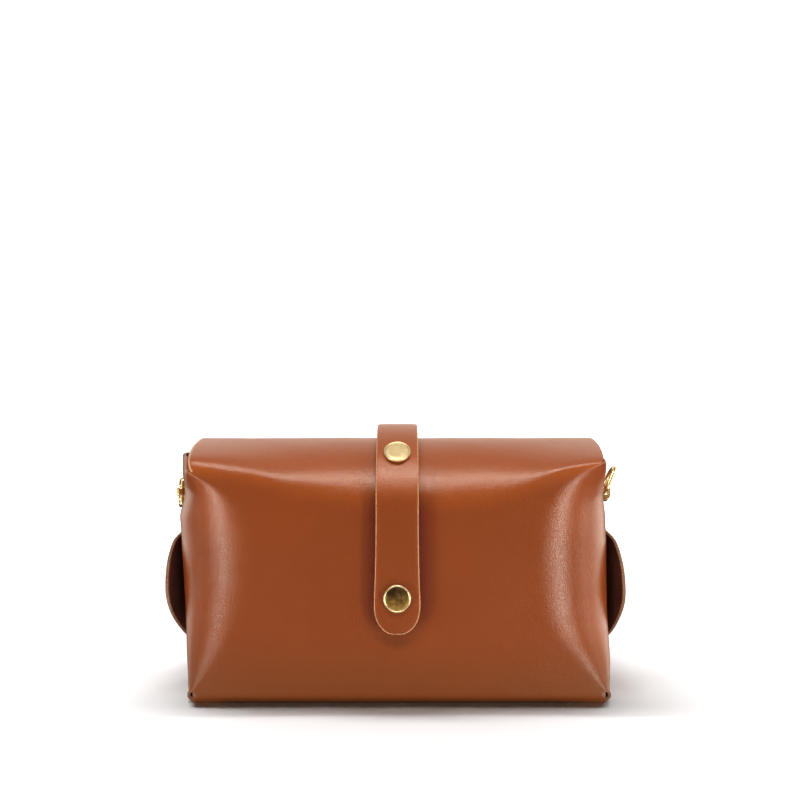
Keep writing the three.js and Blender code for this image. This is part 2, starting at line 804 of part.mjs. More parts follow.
// ---------------------------------------------------------------- snaps, rivet
// Heights along a snap's axis are measured from the body sheet's outer face; under is the strap's inner face.
const studGeometry = (slack = 0) =>
  turned(
    [
      [0, -SHEET - GAP - slack - 0.9],
      [4.4, -SHEET - GAP - slack - 0.9],
      [4.4, -SHEET - GAP - slack],
      [1.7, -SHEET - GAP - slack],
      [1.7, 2 * GAP],
      [4.1, 2 * GAP],
      [4.1, 1.3],
      [2.0, 1.3],
      [1.8, 2.7],
      [0, 2.7],
    ],
    12,
  );
const capGeometry = (under, slack = 0) => {
  const over = under + STRAP + GAP + slack;
  return turned(
    [
      [0, 3.1],
      [2.5, 3.1],
      [2.5, 1.6],
      [4.1, 1.6],
      [4.1, under - GAP - slack],
      [1.7, under - GAP - slack],
      [1.7, over],
      [CAP_R - 0.2, over],
      [CAP_R, over + 0.4],
      [CAP_R - 0.15, over + 1.0],
      [CAP_R - 0.8, over + 1.5],
      [CAP_R * 0.55, over + 1.75],
      [0, over + 1.85],
    ],
    20,
  );
};
const rivetGeometry = (under) => {
  const over = under + STRAP + GAP;
  return turned(
    [
      [0, -SHEET - GAP - 0.9],
      [4.5, -SHEET - GAP - 0.9],
      [4.5, -SHEET - GAP],
      [1.7, -SHEET - GAP],
      [1.7, over],
      [4.5, over],
      [4.5, over + 0.5],
      [3.2, over + 1.2],
      [0, over + 1.5],
    ],
    16,
  );
};
const LOW_PLACE = placement(
  new THREE.Vector3(STRAP_X, frontY(SNAP_LOW_Z), SNAP_LOW_Z),
  new THREE.Vector3(0, -1, LEAN),
);
const UP = (() => {
  const a = arch(STRAP_X),
    tilt = rad(SNAP_UP_TILT),
    angle = Math.atan((Math.tan(tilt) * a.rise) / a.reach),
    foot = new THREE.Vector2(
      -a.reach * Math.cos(angle),
      a.from + a.rise * Math.sin(angle),
    ),
    axis = new THREE.Vector2(-Math.cos(tilt), Math.sin(tilt));
  // distance from the flap to the strap along the axis
  let best = { d: 1e9, run: 0 };
  for (const t of range(400)) {
    const run = mix(2, 9, t),
      p = foot.clone().addScaledVector(axis, run);
    for (const q of STRAP_LINE) {
      const d = p.distanceTo(q);
      if (d < best.d) best = { d, run };
    }
  }
  return { foot, axis, under: best.run };
})();
const UP_PLACE = placement(
  new THREE.Vector3(STRAP_X, UP.foot.x, UP.foot.y),
  new THREE.Vector3(0, UP.axis.x, UP.axis.y),
);
const BACK_PLACE = placement(
  new THREE.Vector3(STRAP_X, backY(RIVET_Z), RIVET_Z),
  new THREE.Vector3(0, 1, LEAN),
);

// ---------------------------------------------------------------- ring posts and D-rings
// A post's own frame: X out of the leather, Y along the hinge line, Z up.
function postPlace(side, turn) {
  const at = (y, z) => new THREE.Vector3(side * wingX(side, z, y), y, z),
    p = at(POST_Y, POST_Z),
    dy = at(POST_Y + 2, POST_Z).sub(at(POST_Y - 2, POST_Z)),
    dz = at(POST_Y, POST_Z + 2).sub(at(POST_Y, POST_Z - 2)),
    out = dy.cross(dz).normalize();
  if (out.x * side < 0) out.negate();
  const hinge = new THREE.Vector3(0, side, 0);
  hinge.addScaledVector(out, -hinge.dot(out)).normalize();
  hinge.applyAxisAngle(out, rad(turn));
  const m = new THREE.Matrix4().makeBasis(out, hinge, out.clone().cross(hinge));
  m.setPosition(p);
  return m;
}
function postGeometry() {
  const inside = -(GUSSET_INSET + SHEET + GAP + 0.4);
  const stem = new THREE.LatheGeometry(
    [
      [0, inside - 1],
      [4.2, inside - 1],
      [4.2, inside],
      [1.7, inside],
      [1.7, GAP + 0.65],
      [3.4, GAP + 0.65],
      [3.4, 1.15],
      [3.0, 1.4],
      [0, 1.4],
    ].map(([r, h]) => new THREE.Vector2(r, h)),
    16,
  ).rotateZ(-Math.PI / 2);
  const outline = new THREE.Shape();
  outline.moveTo(1.0, -BAIL_HALF);
  outline.lineTo(BAIL_OUT - 3, -BAIL_HALF);
  outline.quadraticCurveTo(BAIL_OUT, -BAIL_HALF, BAIL_OUT, -0.8);
  outline.lineTo(BAIL_OUT, 0.8);
  outline.quadraticCurveTo(BAIL_OUT, BAIL_HALF, BAIL_OUT - 3, BAIL_HALF);
  outline.lineTo(1.0, BAIL_HALF);
  outline.closePath();
  const eye = new THREE.Path();
  eye.absarc(EYE_OUT, 0, WIRE_R + 0.45, 0, Math.PI * 2, true);
  outline.holes.push(eye);
  const bail = new THREE.ExtrudeGeometry(outline, {
    depth: 4,
    bevelEnabled: false,
    curveSegments: 5,
  })
    .translate(0, 0, -2)
    .rotateX(Math.PI / 2);
  return joined([stem, bail]);
}
// Closed loop of round wire through flat points: columns along the hinge (y) and away from it (x).
function ringGeometry() {
  const r = 3.2,
    corners = [
      [0, -RING_HALF],
      [RING_REACH, -RING_HALF],
      [RING_REACH, RING_HALF],
      [0, RING_HALF],
    ],
    rounds = [1.6, 5.2, 5.2, 1.6],
    loop = [];
  corners.forEach((c, i) => {
    const p = new THREE.Vector2(...c),
      a = new THREE.Vector2(...corners[(i + 3) % 4]).sub(p).normalize(),
      b = new THREE.Vector2(...corners[(i + 1) % 4]).sub(p).normalize(),
      bend = new THREE.QuadraticBezierCurve(
        p.clone().addScaledVector(a, rounds[i]),
        p,
        p.clone().addScaledVector(b, rounds[i]),
      );
    const steps = rounds[i] > r ? 6 : 3;
    range(steps).forEach((t) => loop.push(bend.getPoint(t)));
  });
  const SIDES = 8,
    positions = [],
    index = [],
    n = loop.length;
  loop.forEach((p, i) => {
    const t = loop[(i + 1) % n]
        .clone()
        .sub(loop[(i + n - 1) % n])
        .normalize(),
      out = new THREE.Vector2(t.y, -t.x);
    for (let k = 0; k < SIDES; k++) {
      const a = (2 * Math.PI * k) / SIDES,
        w = WIRE_R * Math.cos(a);
      positions.push(p.x + out.x * w, p.y + out.y * w, WIRE_R * Math.sin(a));
      const j = (i + 1) % n,
        l = (k + 1) % SIDES;
      index.push(
        i * SIDES + k, j * SIDES + k, j * SIDES + l,
        i * SIDES + k, j * SIDES + l, i * SIDES + l,
      );
    }
  });
  const g = new THREE.BufferGeometry();
  g.setAttribute("position", new THREE.Float32BufferAttribute(positions, 3));
  g.setIndex(index);
  return g;
}
const POST_LEFT = postPlace(-1, RING_LEFT.turn);
const POST_RIGHT = postPlace(1, RING_RIGHT.turn);
const acrossPost = (place) =>
  new THREE.CylinderGeometry(2.1, 2.1, 16, 16)
    .rotateZ(Math.PI / 2)
    .applyMatrix4(place);

// ---------------------------------------------------------------- assembly
const LEATHER = {
  color: 0x8f421b,
  roughness: 0.5,
  metalness: 0,
  side: THREE.DoubleSide,
};
const BRASS = { color: 0xd9bf86, roughness: 0.25, metalness: 1 };
const part = new THREE.Group();
part.name = "mini_handbag";
const bag = new THREE.Group();
bag.position.set(SHIFT_X, SHIFT_Y, -BASE_Z);
part.add(bag);
function piece(name, geometry, look, parent = bag) {
  geometry.deleteAttribute("uv");
  geometry.computeVertexNormals();
  const mesh = new THREE.Mesh(geometry, new THREE.MeshStandardMaterial(look));
  mesh.name = name;
  parent.add(mesh);
  return mesh;
}
function framed(place) {
  const g = new THREE.Group();
  place.decompose(g.position, g.quaternion, g.scale);
  bag.add(g);
  return g;
}

piece(
  "body_shell",
  cutFrom(sheetSolid(bodyRows(), SHEET), [
    holeAt(LOW_PLACE, 2.1, -4, 3),
    holeAt(UP_PLACE, 2.1, -4, 3),
    holeAt(BACK_PLACE, 2.1, -4, 2),
    acrossPost(POST_LEFT),
    acrossPost(POST_RIGHT),
  ]),
  LEATHER,
);
piece("gusset_left", cutFrom(gussetGeometry(-1), [acrossPost(POST_LEFT)]), LEATHER);
piece("gusset_right", cutFrom(gussetGeometry(1), [acrossPost(POST_RIGHT)]), LEATHER);
piece(
  "closing_strap",
  cutFrom(strapGeometry(), [
    holeAt(LOW_PLACE, 2.1, 2, 9),
    holeAt(UP_PLACE, 2.1, 2, 10),
    holeAt(BACK_PLACE, 2.1, -1, 5),
  ]),
  LEATHER,
);
const low = framed(LOW_PLACE),
  up = framed(UP_PLACE),
  back = framed(BACK_PLACE);
piece("snap_stud_lower", studGeometry(), BRASS, low);
piece("snap_cap_lower", capGeometry(STAND_OFF), BRASS, low);
piece("snap_stud_upper", studGeometry(0.3), BRASS, up);
piece("snap_cap_upper", capGeometry(UP.under, 0.3), BRASS, up);
piece("strap_rivet_back", rivetGeometry(0.5), BRASS, back);
for (const [name, place, ring] of [
  ["left", POST_LEFT, RING_LEFT],
  ["right", POST_RIGHT, RING_RIGHT],
]) {
  const post = framed(place);
  piece("ring_post_" + name, postGeometry(), BRASS, post);
  const hinge = new THREE.Group();
  hinge.position.set(EYE_OUT, 0, 0);
  hinge.rotation.y = -rad(ring.raise);
  post.add(hinge);
  piece("d_ring_" + name, ringGeometry(), BRASS, hinge);
}

export default part;
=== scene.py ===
# Mini handbag: folded leather sheet, side gussets, snap strap and D-rings, in metres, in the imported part's frame.
import math

import bpy
import numpy as np
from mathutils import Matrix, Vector, noise


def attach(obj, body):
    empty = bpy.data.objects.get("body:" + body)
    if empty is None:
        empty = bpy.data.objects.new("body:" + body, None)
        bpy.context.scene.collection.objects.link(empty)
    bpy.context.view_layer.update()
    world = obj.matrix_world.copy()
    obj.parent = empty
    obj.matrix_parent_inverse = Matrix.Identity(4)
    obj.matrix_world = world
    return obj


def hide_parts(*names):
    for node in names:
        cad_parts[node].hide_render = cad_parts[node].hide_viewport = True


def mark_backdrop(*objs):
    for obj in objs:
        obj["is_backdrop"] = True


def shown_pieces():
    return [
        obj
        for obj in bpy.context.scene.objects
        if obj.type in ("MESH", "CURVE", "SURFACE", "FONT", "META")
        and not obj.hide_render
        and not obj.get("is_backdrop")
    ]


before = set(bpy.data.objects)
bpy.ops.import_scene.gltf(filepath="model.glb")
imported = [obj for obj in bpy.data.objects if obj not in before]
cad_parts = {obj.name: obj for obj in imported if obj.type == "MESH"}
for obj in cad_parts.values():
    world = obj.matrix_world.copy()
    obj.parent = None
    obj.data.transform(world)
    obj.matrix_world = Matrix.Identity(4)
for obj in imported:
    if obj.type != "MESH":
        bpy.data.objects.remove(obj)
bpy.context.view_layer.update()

# ------------------------------------------------------------------ sizes, in millimetres
SHEET, STRAP = 1.6, 1.8
BASE_Z = -2.3
SHIFT = np.array([1.2, 2.0, -BASE_Z])
TOP_Z = 118.5
NOTCH = {-1: 104.0, 1: 109.0}
WING_TOP, WING_END_Y = {-1: 111.0, 1: 109.8}, 8.0
WING_ROUND, WING_ROUND_TOP = 14.0, 7.0
FOOT_Z, BOTTOM_R, HALF_DEPTH, LEAN = 4.7, 6.0, 42.0, 0.05
LIP_R, LIP_TOP = 3.0, 6.2
BACK_TOP, BACK_WING_TOP = 99.0, 96.0
FLAP_BACK_Y, FLAP_BACK_RISE, FLAP_END_Z, FLAP_HALF = 40.4, 24.0, 84.0, 99.7
EAR_Z, EAR_HALF, EAR_REACH, EAR_ROOT, EAR_FLARE, RETURN = 39.6, 31.5, 30.0, 15.5, 5.2, 6.0
GUSSET_INSET, GUSSET_TOP, GUSSET_TUCK = 2.7, 108.2, 9.0
STRAP_W, STRAP_X, STAND_OFF, STRAP_TOP_OFF = 20.0, 0.5, 4.0, 5.5
STRAP_FOOT_Z, STRAP_ARCH_Z, STRAP_BACK_Y, STRAP_BACK_Z, STRAP_END_Z = 32.5, 85.0, 41.6, 94.0, 53.0
STRAP_ROUND = 11.5
SNAP_LOW_Z, SNAP_UP_TILT, RIVET_Z, CAP_R, GAP = 48.1, 47.5, 62.0, 6.25, 0.3
POST_Z, POST_Y, EYE_OUT, WIRE_R = 91.0, 0.0, 3.1, 1.1
RING_HALF, RING_REACH = 6.5, 13.0
RINGS = {-1: (72.0, 100.0), 1: (64.0, -20.0)}
SOFT = {-1: 0.46, 1: 0.36}
SOFT_BACK = 0.42


def table(columns, *rows):
    return {c: np.array([r[k] for r in rows], float) for k, c in enumerate(columns)}


FRONT = {
    -1: table(
        ("z", "ridge", "side", "depth", "bulge"),
        (4.7, 94.0, 95.6, 2.0, 0.2),
        (16, 88.6, 98.9, 8.0, 0.2),
        (29, 84.2, 102.2, 14.0, 0.3),
        (42, 81.8, 104.5, 18.0, 0.4),
        (54, 80.8, 106.2, 20.0, 0.5),
        (67, 80.8, 107.4, 20.0, 0.5),
        (80, 81.9, 107.8, 18.5, 0.9),
        (86, 83.0, 105.7, 16.5, 1.4),
        (91, 84.6, 102.6, 13.5, 4.0),
        (95.2, 86.8, 100.4, 10.5, 6.8),
        (100, 91.2, 99.0, 6.0, 9.4),
        (104, 96.8, 97.8, 1.8, 10.6),
    ),
    1: table(
        ("z", "ridge", "side", "depth", "bulge"),
        (4.7, 96.6, 98.5, 2.0, 0.2),
        (18, 88.2, 101.8, 9.0, 0.2),
        (32, 80.6, 103.8, 17.0, 0.3),
        (45, 77.4, 105.2, 21.0, 0.4),
        (62, 76.3, 105.4, 21.5, 0.5),
        (79, 77.4, 104.9, 20.5, 0.4),
        (89.8, 79.5, 102.8, 17.5, 0.5),
        (95.2, 81.8, 101.7, 14.5, 2.0),
        (99.8, 84.8, 100.6, 11.0, 3.2),
        (104.4, 89.6, 99.5, 6.5, 4.2),
        (109, 97.0, 98.0, 1.8, 4.8),
    ),
}
BACK = {
    -1: table(
        ("z", "ridge", "side", "depth"),
        (4.7, 94.0, 95.6, 2.0),
        (22, 88.0, 103.0, 10.0),
        (45, 85.5, 108.2, 15.0),
        (75, 87.5, 110.0, 14.5),
        (90, 90.0, 109.0, 11.5),
        (100, 92.0, 106.5, 8.0),
    ),
    1: table(
        ("z", "ridge", "side", "depth"),
        (4.7, 96.6, 98.5, 2.0),
        (22, 89.0, 104.0, 10.0),
        (45, 85.0, 107.4, 15.0),
        (75, 85.0, 108.0, 14.5),
        (90, 87.5, 106.0, 11.5),
        (100, 90.5, 103.5, 8.0),
    ),
}
ARCH = table(
    ("x", "rise", "tent"),
    (-97, 9, 1.45),
    (-85, 10, 1.4),
    (-72, 12.5, 1.3),
    (-58, 17.5, 1.2),
    (-42, 23, 1.1),
    (-18, 30, 1),
    (20, 32, 1),
    (44, 29.5, 1),
    (60, 22, 1.1),
    (74, 14, 1.25),
    (85, 10.5, 1.4),
    (97, 9, 1.45),
)
STRAP_REAR = table(
    ("z", "off"), (53, 0.45), (66, 0.45), (72, 1.0), (78, 2.2), (84, 3.5), (89, 4.1), (94, 4.3)
)
# Width of the strap along its length, from its free end at the front to its end at the back.
STRAP_WIDTH = table(("s", "k"), (0, 1.0), (14, 1.005), (22, 0.98), (34, 0.95), (50, 0.935), (85, 0.945), (120, 0.955), (200, 0.98))

# Grid density of the folded sheet
HALF, BEND, FLAT, WING = 46, 10, 5, 18
OUT = 2 * BEND + FLAT + WING
COLS, MID = 2 * (HALF + OUT) + 1, HALF + OUT


# ------------------------------------------------------------------ helpers
def read(tab, key, at, column):
    k, v = tab[key], tab[column]
    step = np.diff(v) / np.diff(k)
    slope = np.empty_like(v)
    slope[0], slope[-1] = step[0], step[-1]
    a, b = step[:-1], step[1:]
    with np.errstate(divide="ignore", invalid="ignore"):
        slope[1:-1] = np.where(a * b <= 0, 0.0, 2 * a * b / (a + b))
    at = np.clip(np.asarray(at, float), k[0], k[-1])
    i = np.clip(np.searchsorted(k, at, side="right") - 1, 0, len(k) - 2)
    h = k[i + 1] - k[i]
    t = (at - k[i]) / h
    t2, t3 = t * t, t * t * t
    return (
        (2 * t3 - 3 * t2 + 1) * v[i]
        + (t3 - 2 * t2 + t) * h * slope[i]
        + (3 * t2 - 2 * t3) * v[i + 1]
        + (t3 - t2) * h * slope[i + 1]
    )


def smooth(t):
    t = np.clip(t, 0, 1)
    return t * t * (3 - 2 * t)


def mix(a, b, t):
    return a + (b - a) * t


def unit(v):
    return v / max(float(np.linalg.norm(v)), 1e-9)


def bend(a, c, b, n):
    t = np.linspace(0, 1, n + 1)[1:, None]
    return (1 - t) ** 2 * a + 2 * t * (1 - t) * c + t * t * b


def line(a, b, n):
    t = np.linspace(0, 1, n + 1)[1:, None]
    return a + (b - a) * t


def rounded_path(corners, trims, straight, curved):
    c = [np.array(p, float) for p in corners]
    pts = [c[0][None]]
    for i in range(1, len(c)):
        last = i == len(c) - 1
        into = unit(c[i] - c[i - 1])
        trim = 0.0 if last else trims[i - 1]
        stop = c[i] - into * trim
        if straight[i - 1]:
            pts.append(line(pts[-1][-1], stop, straight[i - 1]))
        if not last:
            end = c[i] + unit(c[i + 1] - c[i]) * trim
            pts.append(bend(stop, c[i], end, curved))
    return np.concatenate(pts)


def along(pts, shares):
    run = np.concatenate([[0], np.cumsum(np.linalg.norm(np.diff(pts, axis=0), axis=1))])
    want = np.clip(shares, 0, 1) * run[-1]
    return np.stack([np.interp(want, run, pts[:, k]) for k in range(pts.shape[1])], 1)


def ripple(points, scale, seed):
    return np.array([noise.noise(Vector((p[0] / scale + seed, p[1] / scale, p[2] / scale))) for p in points])


# ------------------------------------------------------------------ the folded sheet
def front_y(z):
    return -(HALF_DEPTH - LEAN * z)


def section(tab, z, soft):
    s = {c: float(read(tab, "z", z, c)) for c in tab if c != "z"}
    facet = math.hypot(s["side"] - s["ridge"], s["depth"])
    s["ridge_trim"], s["side_trim"] = soft * facet, 0.42 * facet
    s["flat"] = s["ridge"] - s["ridge_trim"]
    return s


def front_section(side, z):
    return section(FRONT[side], z, SOFT[side])


def rear_section(side, z):
    return section(BACK[side], z, SOFT_BACK)


def arch_at(x):
    rise = float(read(ARCH, "x", x, "rise"))
    low = TOP_Z - rise
    return rise, low, -front_y(low), float(read(ARCH, "x", x, "tent"))


def arch_point(a, angle):
    rise, low, reach, tent = a
    return np.stack(
        [-reach * np.maximum(0, np.cos(angle)) ** tent, low + rise * np.maximum(0, np.sin(angle)) ** tent], -1
    )


def arch_angle(a, z):
    return math.asin(min(1.0, max(0.0, (z - a[1]) / a[0])) ** (1 / a[3]))


def face_y(x, z):
    a = arch_at(x)
    return front_y(z) if z <= a[1] else float(arch_point(a, arch_angle(a, z))[0])


def arch_line(x, low):
    a = arch_at(x)
    pts = arch_point(a, np.linspace(math.pi / 2, arch_angle(a, low), 241))
    if a[1] > low:
        pts = np.concatenate([pts, line(pts[-1], np.array([front_y(low), low]), 12)])
    return pts


def wing_x(side, z, y):
    s = front_section(side, z)
    y0 = front_y(z) + s["depth"]
    t = max(0.0, (y - y0) / (WING_END_Y - y0))
    return s["side"] + s["bulge"] * t * (2 - t)


def wing_end(side, z):
    low = max(0.0, (FOOT_Z + WING_ROUND - z) / WING_ROUND)
    high = max(0.0, (z - WING_TOP[side] + WING_ROUND_TOP) / WING_ROUND_TOP)
    cut = WING_ROUND * (1 - math.sqrt(max(0.0, 1 - low**2))) + WING_ROUND_TOP * (1 - math.sqrt(max(0.0, 1 - high**2)))
    return WING_END_Y - cut


def tilted(u):
    return mix(NOTCH[-1], NOTCH[1], (u + 1) / 2)


FLAP_EDGE = {s: front_section(s, NOTCH[s])["flat"] for s in (-1, 1)}
FOOT_EDGE = {s: front_section(s, FOOT_Z)["flat"] for s in (-1, 1)}
US = np.linspace(-1, 1, 2 * HALF + 1)


def grid_row(flat, wing=None):
    row = np.full((COLS, 3), np.nan)
    row[OUT : OUT + 2 * HALF + 1] = flat
    if wing:
        for side in (-1, 1):
            pts = wing(side)
            cols = MID + side * (HALF + 1 + np.arange(len(pts)))
            row[cols] = pts
    return row


def side_value(values, u):
    return np.where(u < 0, values[-1], values[1])


def front_wing(side, z):
    s = front_section(side, z)
    y0, end = front_y(z) + s["depth"], wing_end(side, z)
    start_y = min(y0 + s["side_trim"], mix(y0, end, 0.8))
    flat, ridge = np.array([s["flat"], 0.0]), np.array([s["ridge"], 0.0])
    fold = np.array([s["side"], s["depth"]])
    start = np.array([wing_x(side, z, start_y), start_y - front_y(z)])
    into = unit(fold - ridge)
    a, b = ridge + into * s["ridge_trim"], fold - into * s["side_trim"]
    ys = mix(start_y, end, np.linspace(0, 1, WING + 1)[1:])
    tail = np.array([[wing_x(side, z, y), y - front_y(z)] for y in ys])
    pts = np.concatenate([bend(flat, ridge, a, BEND), line(a, b, FLAT), bend(b, fold, start, BEND), tail])
    return np.stack([side * pts[:, 0], front_y(z) + pts[:, 1], np.full(len(pts), z)], 1)


def front_row(share):
    z = {s: mix(FOOT_Z, NOTCH[s], share) for s in (-1, 1)}
    edge = {s: front_section(s, z[s])["flat"] for s in (-1, 1)}
    xs = US * side_value(edge, US)
    zs = mix(z[-1], z[1], (US + 1) / 2)
    flat = np.array([[x, face_y(x, h), h] for x, h in zip(xs, zs)])
    return grid_row(flat, lambda side: front_wing(side, z[side]))


# A wing above the slit's end: its front end turns in behind the flap.
def upper_wing(side, share):
    low = NOTCH[side]
    z = mix(low, WING_TOP[side], share)
    pts = front_wing(side, low)
    bends = 2 * BEND + FLAT
    ys = mix(pts[bends - 1, 1], wing_end(side, z), np.linspace(0, 1, WING + 1)[1:])
    pts[bends:] = [[side * wing_x(side, z, y), y, z] for y in ys]
    pts[:, 2] = z
    k = np.arange(len(pts))
    edge = side * FLAP_EDGE[side]
    back = face_y(edge, z) - face_y(edge, low) + 2.4 * float(smooth(share / 0.4))
    pts[:, 1] += back * (1 - smooth((k - BEND) / (bends - BEND + WING * 0.6)))
    pts[:, 0] -= side * 2.6 * float(smooth((share - 0.25) / 0.6)) * (1 - smooth(k / bends))
    pts[0] = np.nan
    return pts


def back_row(z):
    edge = {s: rear_section(s, z)["flat"] for s in (-1, 1)}
    flat = np.stack([US * side_value(edge, US), np.full(len(US), -front_y(z)), np.full(len(US), z)], 1)
    if z > BACK_WING_TOP + 1e-6:
        return grid_row(flat)
    off = abs(z - EAR_Z)
    tab = float(smooth((EAR_HALF + 4 - off) / 8))
    length = mix(RETURN, EAR_ROOT, tab) + EAR_REACH * math.sqrt(max(0.0, 1 - (off / EAR_HALF) ** 2))
    flare = math.radians(EAR_FLARE * tab)

    def wing(side):
        s = rear_section(side, z)
        fold = np.array([s["side"], s["depth"]])
        tip = fold + length * np.array([math.sin(flare), math.cos(flare)])
        ridge = np.array([s["ridge"], 0.0])
        into, out = unit(fold - ridge), unit(tip - fold)
        trim = min(s["side_trim"], 0.8 * length)
        a, b, c = ridge + into * s["ridge_trim"], fold - into * trim, fold + out * trim
        pts = np.concatenate(
            [bend(np.array([s["flat"], 0.0]), ridge, a, BEND), line(a, b, FLAT), bend(b, fold, c, BEND), line(c, tip, WING)]
        )
        return np.stack([side * pts[:, 0], -front_y(z) - pts[:, 1], np.full(len(pts), z)], 1)

    return grid_row(flat, wing)


def body_rows():
    rows, kinds = [], []

    def add(row, kind):
        rows.append(row)
        kinds.append(kind)

    lane = US * FLAP_HALF
    full = np.ones(len(US))
    for z in np.linspace(FLAP_END_Z, TOP_Z - FLAP_BACK_RISE, 7)[:-1]:
        add(grid_row(np.stack([lane, FLAP_BACK_Y * full, z * full], 1)), "lip")
    for t in np.linspace(0, 1, 25)[:-1]:
        a = t * math.pi / 2
        y, z = FLAP_BACK_Y * math.cos(a), TOP_Z - FLAP_BACK_RISE * (1 - math.sin(a))
        add(grid_row(np.stack([lane, y * full, z * full], 1)), "flap")
    n_arch, n_upper = 40, 12
    share = 1 - (1 - np.linspace(0, 1, n_arch + 1)) ** 1.35
    edge = US * side_value(FLAP_EDGE, US)
    lines = [along(arch_line(x, tilted(u)), share) for x, u in zip(edge, US)]
    for j in range(n_arch):
        flat = np.array(
            [[mix(l, x, share[j] ** 2), ln[j, 0], ln[j, 1]] for l, x, ln in zip(lane, edge, lines)]
        )
        k = j - n_arch + n_upper
        rise = (n_upper - k) / n_upper
        add(grid_row(flat, None if k < 0 else (lambda side, r=rise: upper_wing(side, r))), "arch")
    for t in np.linspace(0, 1, 85):
        add(front_row((1 + math.cos(t * math.pi)) / 2 if t > 0 else 1.0), "front")
    start = front_y(BASE_Z + BOTTOM_R) + BOTTOM_R
    foot = US * side_value(FOOT_EDGE, US)
    for t in np.linspace(0, 1, 10)[:-1]:
        a = t * math.pi / 2
        y, z = start - BOTTOM_R * math.cos(a), BASE_Z + BOTTOM_R * (1 - math.sin(a))
        add(grid_row(np.stack([foot, y * full, z * full], 1)), "fold")

    def lip(y):
        def wing(side):
            a = np.linspace(0, math.pi / 2, BEND + 1)[1:]
            x = np.concatenate([FOOT_EDGE[side] + LIP_R * np.sin(a), np.full(FLAT, FOOT_EDGE[side] + LIP_R)])
            z = np.concatenate([LIP_R * (1 - np.cos(a)), np.linspace(LIP_R, LIP_TOP, FLAT + 1)[1:]])
            # the lip's ends stand open a little
            x = x + 1.3 * float(smooth((abs(y) - 22) / 11)) * np.sin(math.pi * z / LIP_TOP)
            return np.stack([side * x, np.full(len(x), y), BASE_Z + z], 1)

        return wing

    for t in np.linspace(0, 1, 29):
        y = mix(start, -start, t)
        add(grid_row(np.stack([foot, y * full, BASE_Z * full], 1), lip(y)), "bottom")
    for t in np.linspace(0, 1, 10)[1:]:
        a = t * math.pi / 2
        y, z = -start + BOTTOM_R * math.sin(a), BASE_Z + BOTTOM_R * (1 - math.cos(a))
        add(grid_row(np.stack([foot, y * full, z * full], 1)), "fold")
    ears = EAR_Z - EAR_HALF * np.cos(np.linspace(0, math.pi, 53))
    heights = np.concatenate(
        [
            [FOOT_Z],
            ears,
            np.linspace(EAR_Z + EAR_HALF, BACK_WING_TOP, 13)[1:],
            np.linspace(BACK_WING_TOP, BACK_TOP, 4)[1:],
        ]
    )
    for z in heights:
        add(back_row(z), "back")
    return np.array(rows), kinds


def grid_normals(P):
    ok = ~np.isnan(P[..., 0])
    q = ok[:-1, :-1] & ok[1:, :-1] & ok[1:, 1:] & ok[:-1, 1:]
    n = np.cross(P[1:, 1:] - P[:-1, :-1], P[:-1, 1:] - P[1:, :-1])
    n[~q] = 0
    N = np.zeros_like(P)
    for dj in (0, 1):
        for di in (0, 1):
            N[dj : dj + n.shape[0], di : di + n.shape[1]] += n
    length = np.linalg.norm(N, axis=-1, keepdims=True)
    return N / np.maximum(length, 1e-12), q


# Closed sheet from a grid of outer-face points, with a rounded cut edge all round. Materials: 0 grain, 1 flesh, 2 cut edge.
def sheet_mesh(name, P, thickness, round_out, mats, attrs, rough=0.0):
    N, q = grid_normals(P)
    used = np.zeros(P.shape[:2], bool)
    for dj in (0, 1):
        for di in (0, 1):
            used[dj : dj + q.shape[0], di : di + q.shape[1]] |= q
    index = np.full(P.shape[:2], -1)
    index[used] = np.arange(used.sum())
    outer, normal = P[used], N[used]
    count = len(outer)
    jj, ii = np.nonzero(q)
    quads = np.stack([index[jj, ii], index[jj + 1, ii], index[jj + 1, ii + 1], index[jj, ii + 1]], 1)
    edges = {}
    for quad in quads:
        for k in range(4):
            edges[(quad[k], quad[(k + 1) % 4])] = True
    rim = [(a, b) for a, b in edges if (b, a) not in edges]
    out = np.zeros((count, 3))
    for a, b in rim:
        d = np.cross(unit(outer[b] - outer[a]), unit(normal[a] + normal[b]))
        out[a] += d
        out[b] += d
    ids = sorted({v for e in rim for v in e})
    place = {v: k for k, v in enumerate(ids)}
    out = np.array([unit(out[v]) for v in ids])
    K = 6
    rings = []
    rag = ripple(outer[ids], 1.7, 3.1) * rough if rough else np.zeros(len(ids))
    for k in range(1, K):
        a = math.pi * k / K
        depth = thickness * (1 - math.cos(a)) / 2
        grow = round_out * math.sin(a) ** 0.7
        rings.append(outer[ids] - normal[ids] * depth + out * (grow + rag * math.sin(a))[:, None])
    verts = np.concatenate([outer, outer - normal * thickness, *rings])
    faces = [tuple(f) for f in quads] + [tuple(f[::-1] + count) for f in quads]
    mat = [0] * len(quads) + [1] * len(quads)
    base = 2 * count

    def ring(k, v):
        if k == 0:
            return v
        if k == K:
            return v + count
        return base + (k - 1) * len(ids) + place[v]

    for a, b in rim:
        for k in range(K):
            faces.append((ring(k, b), ring(k, a), ring(k + 1, a), ring(k + 1, b)))
            mat.append(2)
    values = {}
    for key, grid in attrs.items():
        v = grid[used]
        values[key] = np.concatenate([v, v, *([v[ids]] * (K - 1))])
    return make(name, verts, faces, mats, mat, values)


